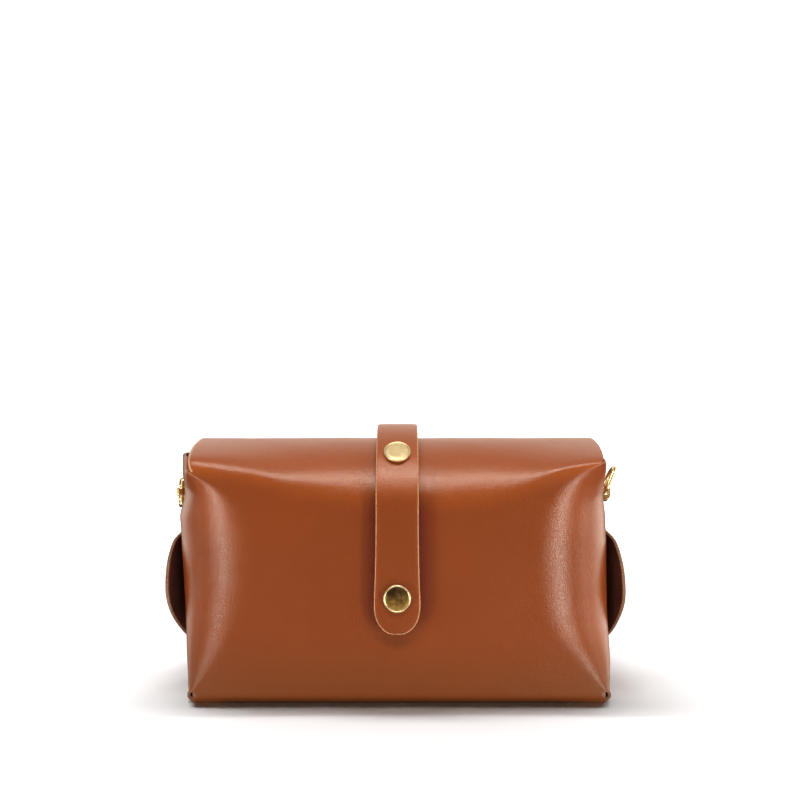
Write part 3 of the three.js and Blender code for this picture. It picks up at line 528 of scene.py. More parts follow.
def make(name, verts, faces, mats, mat=None, values=None, shift=True):
    me = bpy.data.meshes.new(name)
    pts = (np.asarray(verts, float) + (SHIFT if shift else 0)) / 1000.0
    me.from_pydata(pts.tolist(), [], [tuple(int(i) for i in f) for f in faces])
    for m in mats:
        me.materials.append(m)
    if mat is not None:
        me.polygons.foreach_set("material_index", np.asarray(mat, np.int32))
    me.polygons.foreach_set("use_smooth", np.ones(len(me.polygons), bool))
    for key, v in (values or {}).items():
        at = me.attributes.new(key, "FLOAT", "POINT")
        at.data.foreach_set("value", np.asarray(v, np.float32))
    me.update()
    o = bpy.data.objects.new(name, me)
    bpy.context.scene.collection.objects.link(o)
    return o


def put(o, body, slot, *nodes):
    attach(o, body)
    if nodes:
        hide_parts(*nodes)
    return o


# ------------------------------------------------------------------ materials
class Tree:
    def __init__(self, name):
        self.mat = bpy.data.materials.new(name)
        self.mat.use_nodes = True
        self.nodes, self.links = self.mat.node_tree.nodes, self.mat.node_tree.links
        self.nodes.clear()
        self.out = self.nodes.new("ShaderNodeOutputMaterial")
        self.bsdf = self.nodes.new("ShaderNodeBsdfPrincipled")
        self.link(self.bsdf.outputs[0], self.out.inputs[0])
        self.coord = self.nodes.new("ShaderNodeTexCoord").outputs["Object"]

    def link(self, a, b):
        self.links.new(a, b)

    def noise(self, scale, detail=3.0, rough=0.5, stretch=None):
        n = self.nodes.new("ShaderNodeTexNoise")
        n.inputs["Scale"].default_value = scale
        n.inputs["Detail"].default_value = detail
        n.inputs["Roughness"].default_value = rough
        src = self.coord
        if stretch:
            m = self.nodes.new("ShaderNodeMapping")
            m.inputs["Scale"].default_value = stretch
            self.link(src, m.inputs["Vector"])
            src = m.outputs[0]
        self.link(src, n.inputs["Vector"])
        return n.outputs[0]

    def cells(self, scale, feature="DISTANCE_TO_EDGE", warp=None):
        v = self.nodes.new("ShaderNodeTexVoronoi")
        v.feature = feature
        v.inputs["Scale"].default_value = scale
        self.link(self.coord, v.inputs["Vector"])
        return v.outputs["Distance"]

    def spread(self, value, lo, hi, to_lo=0.0, to_hi=1.0):
        m = self.nodes.new("ShaderNodeMapRange")
        m.interpolation_type = "SMOOTHSTEP"
        self.link(value, m.inputs["Value"])
        for key, v in zip(("From Min", "From Max", "To Min", "To Max"), (lo, hi, to_lo, to_hi)):
            m.inputs[key].default_value = v
        return m.outputs["Result"]

    def math(self, kind, a, b):
        m = self.nodes.new("ShaderNodeMath")
        m.operation = kind
        for k, v in enumerate((a, b)):
            if isinstance(v, (int, float)):
                m.inputs[k].default_value = v
            else:
                self.link(v, m.inputs[k])
        return m.outputs[0]

    def blend(self, a, b, factor, kind="MIX"):
        m = self.nodes.new("ShaderNodeMix")
        m.data_type = "RGBA"
        m.blend_type = kind
        sockets = [m.inputs[0], m.inputs[6], m.inputs[7]]
        for s, v in zip(sockets, (factor, a, b)):
            if isinstance(v, (int, float)):
                s.default_value = v
            elif isinstance(v, tuple):
                s.default_value = (*v, 1.0)
            else:
                self.link(v, s)
        return m.outputs[2]

    def attribute(self, name):
        a = self.nodes.new("ShaderNodeAttribute")
        a.attribute_name = name
        return a.outputs["Fac"]

    def bump(self, heights):
        normal = None
        for height, strength, distance in heights:
            b = self.nodes.new("ShaderNodeBump")
            b.inputs["Strength"].default_value = strength
            b.inputs["Distance"].default_value = distance
            self.link(height, b.inputs["Height"])
            if normal is not None:
                self.link(normal, b.inputs["Normal"])
            normal = b.outputs[0]
        self.link(normal, self.bsdf.inputs["Normal"])

    def set(self, **values):
        for key, v in values.items():
            socket = self.bsdf.inputs[key.replace("_", " ")]
            if isinstance(v, (int, float)):
                socket.default_value = v
            elif isinstance(v, tuple):
                socket.default_value = (*v, 1.0)
            else:
                self.link(v, socket)


def grain_leather(name, dark, mid, light, worn_and_lit):
    t = Tree(name)
    wide, patch = t.noise(16, 3, 0.5), t.noise(110, 4, 0.6)
    colour = t.blend(dark, mid, t.spread(wide, 0.3, 0.7))
    colour = t.blend(colour, light, t.math("MULTIPLY", t.spread(patch, 0.45, 0.85), 0.25))
    fine = t.noise(1500, 2, 0.6)
    colour = t.blend(colour, dark, t.math("MULTIPLY", t.spread(fine, 0.52, 0.72), 0.25))
    # wear and painted light: paler leather along folds and edges, partly real wear, partly painted light where light
    # falls on the top roll, the ridges and the right facet
    wear_and_painted_light = t.math("MULTIPLY", t.attribute("wear_and_painted_light"), t.spread(t.noise(420, 4, 0.65), 0.25, 0.7, 0.75, 1.0))
    colour = t.blend(colour, worn_and_lit, wear_and_painted_light)
    # painted shadow: dark red on the leather beside the strap, where it stands off the front
    colour = t.blend(colour, (0.148, 0.0185, 0.0058), t.attribute("painted_strap_shadow"))
    # painted floor reflection: the leather duller and browner towards the foot
    colour = t.blend(colour, (0.155, 0.041, 0.0078), t.math("MULTIPLY", t.attribute("low"), 0.75))
    # painted shade: near-black contact shadow on the fold that meets the table
    colour = t.blend(colour, (0.016, 0.007, 0.004), t.math("MULTIPLY", t.attribute("painted_contact_shade"), 0.92))
    colour = t.blend(colour, (0.55, 0.29, 0.17), t.spread(t.attribute("raw"), 0.45, 0.75))
    pores = t.cells(1050)
    rough = t.spread(t.noise(300, 3, 0.6), 0.3, 0.7, 0.283, 0.312)
    rough = t.math("ADD", rough, t.math("MULTIPLY", t.attribute("dull"), 0.05))
    t.set(Base_Color=colour, Roughness=rough, Specular_IOR_Level=0.6, IOR=1.5)
    t.bump(
        [
            (t.noise(260, 4, 0.6), 0.06, 0.0004),
            (t.spread(pores, 0.0, 0.30), 0.29, 0.00013),
            (t.noise(2200, 2, 0.6), 0.33, 0.00010),
        ]
    )
    return t.mat


def flesh_leather(name, dark, light):
    t = Tree(name)
    fibre = t.noise(900, 5, 0.7)
    colour = t.blend(dark, light, t.spread(t.noise(60, 4, 0.6), 0.3, 0.75))
    colour = t.blend(colour, light, t.math("MULTIPLY", t.spread(fibre, 0.5, 0.75), 0.4))
    t.set(Base_Color=colour, Roughness=0.82, Specular_IOR_Level=0.25)
    t.bump([(fibre, 0.5, 0.0003), (t.noise(2600, 3, 0.6), 0.4, 0.0001)])
    return t.mat


def cut_leather(name, dark, light):
    t = Tree(name)
    fibre = t.noise(1100, 4, 0.7)
    colour = t.blend(dark, light, t.spread(fibre, 0.32, 0.6))
    colour = t.blend(colour, dark, t.math("MULTIPLY", t.spread(t.noise(160, 3, 0.6), 0.55, 0.75), 0.5))
    t.set(Base_Color=colour, Roughness=0.6, Specular_IOR_Level=0.35)
    t.bump([(fibre, 0.45, 0.00015)])
    return t.mat


def brass(name, base, smudge, rough, painted_top_and_rim=None):
    t = Tree(name)
    cloud = t.noise(330, 5, 0.62)
    colour = t.blend(base, smudge, t.math("MULTIPLY", t.spread(cloud, 0.45, 0.72), 0.6))
    if painted_top_and_rim:
        gap = t.nodes.new("ShaderNodeVectorMath")
        gap.operation = "DISTANCE"
        rim = t.nodes.new("ShaderNodeVectorMath")
        rim.operation = "MULTIPLY"
        t.link(t.coord, rim.inputs[0])
        rim.inputs[1].default_value = (1.0, 0.0, 1.0)
        t.link(rim.outputs[0], gap.inputs[0])
        gap.inputs[1].default_value = painted_top_and_rim[2]
        split = t.nodes.new("ShaderNodeSeparateXYZ")
        t.link(t.coord, split.inputs[0])
        height = t.math("ADD", split.outputs["Z"], t.math("MULTIPLY", t.noise(260, 3, 0.6), 0.006))
        # painted shade: the top of the cap darker, standing in for a dark reflection
        colour = t.blend(colour, (0.13, 0.085, 0.045), t.spread(height, painted_top_and_rim[0] + 0.003, painted_top_and_rim[1] + 0.003))
        # painted highlight: a bright ring round the cap's rim
        colour = t.blend(colour, (0.95, 0.80, 0.52), t.spread(gap.outputs["Value"], 0.00535, 0.0056))
    scratch = t.noise(900, 3, 0.6, (1.0, 6.0, 1.0))
    t.set(
        Base_Color=colour,
        Metallic=1.0,
        Roughness=t.spread(t.noise(500, 4, 0.6), 0.35, 0.7, rough * 0.8, rough * 1.35),
    )
    t.bump([(cloud, 0.03, 0.0002), (scratch, 0.05, 0.00003)])
    return t.mat


GRAIN = grain_leather("leather_grain", (0.188, 0.035, 0.0042), (0.206, 0.040, 0.0050), (0.23, 0.049, 0.0075), (0.345, 0.075, 0.0140))
FLESH = flesh_leather("leather_flesh", (0.060, 0.016, 0.011), (0.115, 0.034, 0.022))
CUT = cut_leather("leather_cut_edge", (0.32, 0.125, 0.055), (0.58, 0.30, 0.155))
CUT_SHELL = cut_leather("leather_cut_edge_shell", (0.10, 0.045, 0.026), (0.26, 0.13, 0.075))
BRASS = brass("brass_polished", (0.86, 0.68, 0.40), (0.62, 0.44, 0.20), 0.20)
BRASS_SATIN = brass("brass_satin", (0.86, 0.68, 0.40), (0.70, 0.52, 0.26), 0.35)
LOW_CAP = (STRAP_X + SHIFT[0]) / 1000, 0.0, (SNAP_LOW_Z + SHIFT[2] + LEAN * (STAND_OFF + STRAP + 1.5)) / 1000
# painted shade: a darker copy of the brass for the lower cap, standing in for its dark reflections, with a painted
# dark top and a painted bright rim
BRASS_PAINTED_DARK = brass("brass_painted_dark", (0.54, 0.36, 0.125), (0.38, 0.24, 0.08), 0.35, (0.0485, 0.0535, LOW_CAP))
LEATHER_MATS = [GRAIN, FLESH, CUT]


# ------------------------------------------------------------------ body shell
def build_body():
    P, kinds = body_rows()
    kinds = np.array(kinds)
    # soften the change from the front to the arch, along the height
    tall = np.nonzero((kinds == "arch") | (kinds == "front"))[0]
    for c, u in enumerate(US):
        q = P[tall, OUT + c]
        run = np.concatenate([[0], np.cumsum(np.linalg.norm(np.diff(q, axis=0), axis=1))])
        size = 2.2 + 2.6 * float(smooth((abs(u) - 0.3) / 0.3) * (1 - 0.8 * smooth((abs(u) - 0.8) / 0.2)))
        near = np.exp(-0.5 * ((run[:, None] - run[None, :]) / size) ** 2) * np.gradient(run)[None, :]
        mean = near @ q / near.sum(1, keepdims=True)
        move = (mean - q) * (smooth(run / (3 * size)) * smooth((run[-1] - run) / (3 * size)))[:, None]
        P[tall, OUT + c] += move
        if abs(u) == 1:
            k = np.arange(14)
            cols = OUT + c + int(u) * (1 + k)
            P[tall[:, None], cols[None, :]] += move[:, None, :] * (1 - smooth((k + 1) / 14))[None, :, None]
    # slow uneven waves of the leather
    used = ~np.isnan(P[..., 0])
    N, _q = grid_normals(P)
    pts = P[used]
    wave = 0.26 * ripple(pts, 34.0, 7.0) + 0.12 * ripple(pts, 13.0, 1.7)
    calm = np.clip((pts[:, 2] - BASE_Z - 1.0) / 8.0, 0, 1)
    P[used] = pts + N[used] * (wave * calm)[:, None]
    # wear and painted light: paler along folds and free edges from wear, and painted light where light falls, palest
    # over the flap's top roll and lip, along the crease and the side ridges, and on the right facet more than the left
    wear_and_painted_light = np.zeros(P.shape[:2])
    foot = np.interp(np.nan_to_num(P[..., 0]), ARCH["x"], TOP_Z - np.asarray(ARCH["rise"], float)) - 86.5
    rise = smooth((P[..., 2] - 83.0 - 0.72 * foot) / (21.0 - 0.45 * foot))
    for j, kind in enumerate(kinds):
        if kind in ("flap", "lip"):
            wear_and_painted_light[j] = 1.0
        if kind in ("front", "arch"):
            wear_and_painted_light[j, OUT : OUT + 2 * HALF + 1] = 0.9 * rise[j, OUT : OUT + 2 * HALF + 1]
        for side in (-1, 1):
            k = np.arange(OUT)
            cols = MID + side * (HALF + 1 + k)
            if kind in ("front", "back", "arch"):
                # painted light: the right facet, where more light falls, paler than the left
                facet = 0.15 if side < 0 else 0.5
                fold = (0.22 + 0.4 * smooth((P[j, cols, 2] - 62) / 30)) * smooth((k + 1) / (BEND * 0.5))
                rim = rise[j, MID + side * HALF] * 0.9 * (1 - smooth(k / 6)) if kind != "back" else 0.0
                wear_and_painted_light[j, cols] = np.maximum(mix(fold, facet, smooth((k - BEND * 0.6) / 8)), rim)
    wear_and_painted_light = np.nan_to_num(wear_and_painted_light)
    off = np.abs(np.arange(COLS) - MID) - HALF
    dull = (1 - smooth((P[..., 2] - 8.0) / 34.0)) * smooth((off + 8) / 8)[None, :]
    dull = np.nan_to_num(dull)
    # painted shadow of the strap, darker and redder on the leather beside it; and a painted floor reflection, duller
    # and browner towards the foot
    front = ((kinds == "front") | (kinds == "arch"))[:, None] & (np.abs(np.arange(COLS) - MID) <= HALF)[None, :]
    beside = np.abs(P[..., 0] - STRAP_X) - STRAP_W / 2
    painted_strap_shadow = np.exp(-((np.maximum(beside - 0.5, 0) / np.where(P[..., 0] > STRAP_X, 6.4, 4.4)) ** 2)) * smooth((P[..., 2] - 30) / 14) * (1 - smooth((P[..., 2] - 84) / 18))
    painted_strap_shadow = np.nan_to_num(np.where(front, painted_strap_shadow, 0.0))
    low = np.nan_to_num(1 - smooth((P[..., 2] - 2.0) / 30.0))
    low[(kinds == "lip") | (kinds == "flap")] = 0
    # painted contact shade: the bottom fold darkened nearly to black where it meets the table
    painted_contact_shade = np.zeros(P.shape[:2])
    contact_rows = (kinds == "fold") | (kinds == "bottom")
    painted_contact_shade[contact_rows] = np.nan_to_num(1 - smooth((P[contact_rows][..., 2] - BASE_Z) / (0.85 * BOTTOM_R)))
    painted_contact_shade[:, OUT : OUT + 2 * HALF + 1] *= 1 - 0.8 * smooth((np.abs(US) - 0.78) / 0.2)
    painted_contact_shade[:, :OUT] = painted_contact_shade[:, OUT + 2 * HALF + 1 :] = 0
    # bare cut corner along the flap's left edge
    raw = np.zeros(P.shape[:2])
    raw[(kinds == "arch") | (kinds == "flap"), OUT] = 1.0
    return sheet_mesh("body_leather", P, SHEET, 0.22, [GRAIN, FLESH, CUT_SHELL], {"wear_and_painted_light": wear_and_painted_light, "dull": dull, "raw": raw, "painted_strap_shadow": painted_strap_shadow, "low": low, "painted_contact_shade": painted_contact_shade}, 0.05)


# ------------------------------------------------------------------ gussets
def gusset_line(side, z):
    f, b = front_section(side, z), rear_section(side, z)
    y0 = front_y(z)
    corners = [(60, y0), (f["ridge"], y0), (f["side"], y0 + f["depth"])]
    for t in (0.75, 1.0):
        y = mix(y0 + f["depth"], WING_END_Y, t)
        corners.append((wing_x(side, z, y), y))
    corners += [(b["side"], -y0 - b["depth"]), (b["ridge"], -y0), (60, -y0)]
    c = np.array(corners, float)
    d = np.array([unit(v) for v in np.diff(c, axis=0)])
    p = c[1:] + np.stack([-d[:, 1], d[:, 0]], 1) * GUSSET_INSET
    inner = []
    for i in range(len(d) - 1):
        cross = d[i, 0] * d[i + 1, 1] - d[i, 1] * d[i + 1, 0]
        if abs(cross) < 1e-4:
            inner.append(p[i])
        else:
            w = p[i + 1] - p[i]
            inner.append(p[i] + d[i] * ((w[0] * d[i + 1, 1] - w[1] * d[i + 1, 0]) / cross))
    path = [np.array([60, inner[0][1]]), *inner, np.array([60, inner[-1][1]])]
    shares = [0.45, 0.78, 0.15, 0.3, 0.45, 0.45]
    trims = [
        shares[i] * min(np.linalg.norm(q - path[i]), np.linalg.norm(q - path[i + 2])) for i, q in enumerate(inner)
    ]
    pts = rounded_path(path, trims, [4] * len(path), 10)
    run = np.concatenate([[0], np.cumsum(np.linalg.norm(np.diff(pts, axis=0), axis=1))])
    at = [run[np.argmin(np.linalg.norm(pts - inner[k], axis=1))] for k in (1, 4)]
    return pts, (at[0] - GUSSET_TUCK) / run[-1], (at[1] + GUSSET_TUCK) / run[-1]


def build_gusset(side, name):
    zs = np.linspace(FOOT_Z, NOTCH[side], 80)
    shares = np.linspace(0, 1, 61)
    lines = []
    for z in zs:
        pts, lo, hi = gusset_line(side, z)
        lines.append(along(pts, mix(lo, hi, shares)))
    lines = np.array(lines)

    def at(k, z):
        return np.array([np.interp(z, zs, lines[:, k, c]) for c in (0, 1)])

    rows = []
    for w in np.linspace(1, 0, 45):
        row = []
        for k in range(len(shares)):
            low, high = lines[0, k, 1], lines[-1, k, 1]
            bottom = BASE_Z + SHEET + 0.4 + 5 * float(smooth((abs(low) - 31) / 7))
            top = GUSSET_TOP - 11.5 * float(smooth((high - 12) / 20)) - 5.5 * float(smooth((-high - 16) / 18))
            turn = min(NOTCH[side], top - 2)
            z = mix(bottom, turn, (1 - math.cos(w / 0.75 * math.pi)) / 2) if w < 0.75 else mix(turn, top, (w - 0.75) / 0.25)
            x, y = at(k, z)
            row.append((side * x, y, z))
        rows.append(row if side > 0 else row[::-1])
    P = np.array(rows)
    wear_and_painted_light = np.zeros(P.shape[:2])
    return sheet_mesh(name, P, SHEET, 0.2, LEATHER_MATS, {"wear_and_painted_light": wear_and_painted_light}, 0.04)


# ------------------------------------------------------------------ strap
def strap_line():
    top = TOP_Z + STRAP_TOP_OFF
    reach, rise, rear = STAND_OFF - front_y(STRAP_ARCH_Z), top - STRAP_ARCH_Z, top - STRAP_BACK_Z
    z = np.linspace(STRAP_FOOT_Z, STRAP_ARCH_Z, 61)
    a = np.linspace(0, math.pi / 2, 121)[1:]
    b = np.linspace(math.pi / 2, 0, 101)[1:]
    zb = np.linspace(STRAP_BACK_Z, STRAP_END_Z, 61)[1:]
    return np.concatenate(
        [
            np.stack([front_y(z) - STAND_OFF, z], 1),
            np.stack([-reach * np.cos(a), STRAP_ARCH_Z + rise * np.sin(a)], 1),
            np.stack([STRAP_BACK_Y * np.cos(b), STRAP_BACK_Z + rear * np.sin(b)], 1),
            np.stack([-front_y(zb) + read(STRAP_REAR, "z", zb, "off"), zb], 1),
        ]
    )


STRAP_LINE = strap_line()


def build_strap():
    run = np.concatenate([[0], np.cumsum(np.linalg.norm(np.diff(STRAP_LINE, axis=0), axis=1))])
    length = run[-1]
    ends = STRAP_ROUND * (1 - np.cos(np.linspace(0, math.pi / 2, 15)))
    stations = np.concatenate([ends, np.linspace(STRAP_ROUND, length - STRAP_ROUND, 190)[1:-1], (length - ends)[::-1]])
    mids = along(STRAP_LINE, stations / length)
    ahead, behind = along(STRAP_LINE, (stations + 0.6) / length), along(STRAP_LINE, (stations - 0.6) / length)
    tangent = ahead - behind
    tangent /= np.linalg.norm(tangent, axis=1, keepdims=True)
    normal = np.stack([-tangent[:, 1], tangent[:, 0]], 1)
    across = np.linspace(-1, 1, 33)
    rows = []
    for s, m, n in zip(stations, mids, normal):
        near = min(s, length - s, STRAP_ROUND) / STRAP_ROUND
        half = STRAP_W / 2 * float(read(STRAP_WIDTH, "s", s, "k")) * mix(0.14, 1, math.sqrt(1 - (1 - near) ** 2))
        x = across * half
        p = m + n * STRAP
        # the leather dips in a ring round the lower cap, and the long edges curl down a little
        lift = -0.22 * (x / 10.0) ** 4
        for d in (s - (SNAP_LOW_Z - STRAP_FOOT_Z),):
            r = np.hypot(x, d)
            lift = lift - 0.26 * np.exp(-(((r - 7.4) / 1.5) ** 2))
        rows.append(np.stack([STRAP_X + x, p[0] + n[0] * lift, p[1] + n[1] * lift], 1))
    P = np.array(rows)[::-1]
    N, _q = grid_normals(P)
    flat = P.reshape(-1, 3)
    wave = 0.10 * ripple(flat, 16.0, 4.0) + 0.05 * ripple(flat, 6.0, 9.0)
    P = P + N * wave.reshape(P.shape[:2])[..., None]
    # painted light: the strap paler where it goes over the top, and paler wear along its long edges
    over = smooth((P[..., 2] - 90.0) / 14.0)
    wear_and_painted_light = np.maximum(0.95 * over, 0.35 * np.abs(across)[None, :] ** 14)
    return sheet_mesh("closing_strap_leather", P, STRAP, 0.55, LEATHER_MATS, {"wear_and_painted_light": wear_and_painted_light}, 0.09)


# ------------------------------------------------------------------ brass pieces
def lathe(rows, sides=72):
    a = np.linspace(0, 2 * math.pi, sides, endpoint=False)
    verts, faces, prev = [], [], None
    for r, h in rows:
        if r < 1e-6:
            ids = [len(verts)]
            verts.append((0.0, 0.0, h))
        else:
            ids = list(range(len(verts), len(verts) + sides))
            verts += [(r * math.cos(t), r * math.sin(t), h) for t in a]
        if prev is not None:
            for k in range(sides):
                l = (k + 1) % sides
                if len(prev) == 1:
                    faces.append((prev[0], ids[l], ids[k]))
                elif len(ids) == 1:
                    faces.append((prev[k], prev[l], ids[0]))
                else:
                    faces.append((prev[k], prev[l], ids[l], ids[k]))
        prev = ids
    return np.array(verts), faces


def rounded(rows, radius, steps=4):
    pts = [np.array(rows[0], float)]
    for k in range(1, len(rows) - 1):
        a, c, b = (np.array(rows[i], float) for i in (k - 1, k, k + 1))
        t = min(radius, 0.45 * np.linalg.norm(c - a), 0.45 * np.linalg.norm(b - c))
        s, e = c + unit(a - c) * t, c + unit(b - c) * t
        pts.append(s)
        pts += list(bend(s, c, e, steps))
    pts.append(np.array(rows[-1], float))
    return [tuple(p) for p in pts]


def placed(verts, origin, axes):
    return np.asarray(origin) + verts @ np.asarray(axes)


def axes_along(direction):
    z = unit(np.array(direction, float))
    x = np.cross([0, 0, 1.0], z)
    x = unit(x) if np.linalg.norm(x) > 1e-3 else np.array([1.0, 0, 0])
    return np.array([x, np.cross(z, x), z])


def upper_snap():
    rise, low, reach, _tent = arch_at(STRAP_X)
    tilt = math.radians(SNAP_UP_TILT)
    angle = math.atan(math.tan(tilt) * rise / reach)
    foot = np.array([-reach * math.cos(angle), low + rise * math.sin(angle)])
    axis = np.array([-math.cos(tilt), math.sin(tilt)])
    best = (1e9, 0.0)
    for run in np.linspace(2, 9, 401):
        d = float(np.linalg.norm(STRAP_LINE - (foot + axis * run), axis=1).min())
        best = min(best, (d, run))
    return foot, axis, best[1]


def cap_rows(under, slack):
    over = under + STRAP + GAP + slack
    socket = [(0, 3.1), (2.5, 3.1), (2.5, 1.6), (4.1, 1.6), (4.1, under - GAP - slack), (1.7, under - GAP - slack), (1.7, over)]
    top = [
        (CAP_R - 0.25, over),
        (CAP_R, over + 0.3),
        (CAP_R, over + 1.0),
        (CAP_R - 0.12, over + 1.36),
        (CAP_R - 0.42, over + 1.52),
        (CAP_R - 0.72, over + 1.40),
        (CAP_R - 0.92, over + 1.22),
        (CAP_R - 1.15, over + 1.26),
        (CAP_R - 1.7, over + 1.40),
        (CAP_R * 0.5, over + 1.50),
        (0.0, over + 1.54),
    ]
    return rounded(socket + top, 0.16, 3)


def stud_rows(slack):
    b = -SHEET - GAP - slack
    return rounded(
        [(0, b - 0.9), (4.4, b - 0.9), (4.4, b), (1.7, b), (1.7, 0.6), (4.1, 0.6), (4.1, 1.3), (2.0, 1.3), (1.8, 2.7), (0, 2.7)], 0.2
    )


def rivet_rows(under):
    b, over = -SHEET - GAP, under + STRAP + GAP
    return rounded(
        [(0, b - 0.9), (4.5, b - 0.9), (4.5, b), (1.7, b), (1.7, over), (4.5, over), (4.5, over + 0.5), (3.2, over + 1.2), (0, over + 1.5)], 0.3
    )


def turned_piece(name, rows, origin, direction, nodes, metal=BRASS):
    verts, faces = lathe(rows)
    o = make(name, placed(verts, origin, axes_along(direction)), faces, [metal])
    return put(o, "bag", "brass", *nodes)


def post_frame(side, turn):
    def at(y, z):
        return np.array([side * wing_x(side, z, y), y, z])

    p = at(POST_Y, POST_Z)
    out = unit(np.cross(at(POST_Y + 2, POST_Z) - at(POST_Y - 2, POST_Z), at(POST_Y, POST_Z + 2) - at(POST_Y, POST_Z - 2)))
    if out[0] * side < 0:
        out = -out
    hinge = np.array([0.0, side, 0.0])
    hinge = unit(hinge - out * hinge.dot(out))
    a = math.radians(turn)
    hinge = hinge * math.cos(a) + np.cross(out, hinge) * math.sin(a)
    return p, np.array([out, hinge, np.cross(out, hinge)])


# Eye of a post: a closed loop of rounded cross-sections round the hinge bore.
def eye_mesh():
    bore, half, corner = WIRE_R + 0.45, 2.0, 0.75
    n, verts, faces = 64, [], []
    for k in range(n):
        a = 2 * math.pi * k / n
        c, s = math.cos(a), math.sin(a)
        reach = 1.0 / (abs(c / (3.1 if c > 0 else 2.0)) ** 2.6 + abs(s / 4.9) ** 2.6) ** (1 / 2.6)
        loop = rounded([(bore, 0.0), (bore, half), (reach, half), (reach, -half), (bore, -half), (bore, 0.0)], corner, 5)[:-1]
        m = len(loop)
        verts += [(EYE_OUT + r * c, h, r * s) for r, h in loop]
        for i in range(m):
            j, l = (i + 1) % m, (k + 1) % n
            faces.append((k * m + i, k * m + j, l * m + j, l * m + i))
    return np.array(verts), faces


def post_piece(side, name, node):
    p, axes = post_frame(side, RINGS[side][1])
    inside = -(GUSSET_INSET + SHEET + GAP + 0.4)
    rows = rounded(
        [(0, inside - 1), (4.2, inside - 1), (4.2, inside), (1.7, inside), (1.7, GAP + 0.65), (3.4, GAP + 0.65), (3.4, 1.2), (3.0, 1.5), (0, 1.5)], 0.2
    )
    v1, f1 = lathe(rows, 48)
    v1 = v1[:, [2, 0, 1]]
    v2, f2 = eye_mesh()
    faces = f1 + [tuple(i + len(v1) for i in f) for f in f2]
    o = make(name, placed(np.concatenate([v1, v2]), p, axes), faces, [BRASS])
    return put(o, "bag", "brass", node)


def ring_piece(side, name, node, body):
    p, axes = post_frame(side, RINGS[side][1])
    raise_by = math.radians(RINGS[side][0])
    out, hinge, up = axes
    x = out * math.cos(raise_by) + up * math.sin(raise_by)
    corners = np.array([[0, -RING_HALF], [RING_REACH, -RING_HALF], [RING_REACH, RING_HALF], [0, RING_HALF]], float)
    rounds = [1.6, 5.2, 5.2, 1.6]
    loop = []
    for i, c in enumerate(corners):
        a, b = unit(corners[i - 1] - c), unit(corners[(i + 1) % 4] - c)
        s, e = c + a * rounds[i], c + b * rounds[i]
        loop.append(s)
        loop += list(bend(s, c, e, 12 if rounds[i] > 3 else 7))
        nxt = corners[(i + 1) % 4] - b * rounds[(i + 1) % 4]
        loop += list(line(e, nxt, 8))[:-1]
    loop = np.array(loop)
    t = np.roll(loop, -1, axis=0) - np.roll(loop, 1, axis=0)
    t /= np.linalg.norm(t, axis=1, keepdims=True)
    side_dir = np.stack([t[:, 1], -t[:, 0]], 1)
    n, m = len(loop), 20
    a = np.linspace(0, 2 * math.pi, m, endpoint=False)
    verts, faces = [], []
    for k in range(n):
        w = WIRE_R * np.cos(a)
        flat = loop[k] + side_dir[k] * w[:, None]
        verts.append(np.stack([flat[:, 0], flat[:, 1], WIRE_R * np.sin(a)], 1))
        for i in range(m):
            l, j = (k + 1) % n, (i + 1) % m
            faces.append((k * m + i, l * m + i, l * m + j, k * m + j))
    verts = np.concatenate(verts)
    frame_axes = np.array([x, hinge, np.cross(x, hinge)])
    o = make(name, placed(verts, p + out * EYE_OUT, frame_axes), faces, [BRASS])
    return put(o, body, "brass", node)


# ------------------------------------------------------------------ assembly
put(build_body(), "bag", "leather", "body_shell")
put(build_gusset(-1, "gusset_left_leather"), "bag", "leather", "gusset_left")
put(build_gusset(1, "gusset_right_leather"), "bag", "leather", "gusset_right")
put(build_strap(), "bag", "leather", "closing_strap")

low_at, low_dir = (STRAP_X, front_y(SNAP_LOW_Z), SNAP_LOW_Z), (0, -1, LEAN)
foot, axis, under = upper_snap()
up_at, up_dir = (STRAP_X, foot[0], foot[1]), (0, axis[0], axis[1])
back_at, back_dir = (STRAP_X, -front_y(RIVET_Z), RIVET_Z), (0, 1, LEAN)
turned_piece("cap_lower_brass", cap_rows(STAND_OFF, 0.0), low_at, low_dir, ["snap_cap_lower"], BRASS_PAINTED_DARK)
turned_piece("stud_lower_brass", stud_rows(0.0), low_at, low_dir, ["snap_stud_lower"])
turned_piece("cap_upper_brass", cap_rows(under, 0.3), up_at, up_dir, ["snap_cap_upper"], BRASS_SATIN)
turned_piece("stud_upper_brass", stud_rows(0.3), up_at, up_dir, ["snap_stud_upper"])
turned_piece("rivet_back_brass", rivet_rows(0.5), back_at, back_dir, ["strap_rivet_back"])
post_piece(-1, "post_left_brass", "ring_post_left")
post_piece(1, "post_right_brass", "ring_post_right")
ring_piece(-1, "ring_left_brass", "d_ring_left", "ring_left")
ring_piece(1, "ring_right_brass", "d_ring_right", "ring_right")


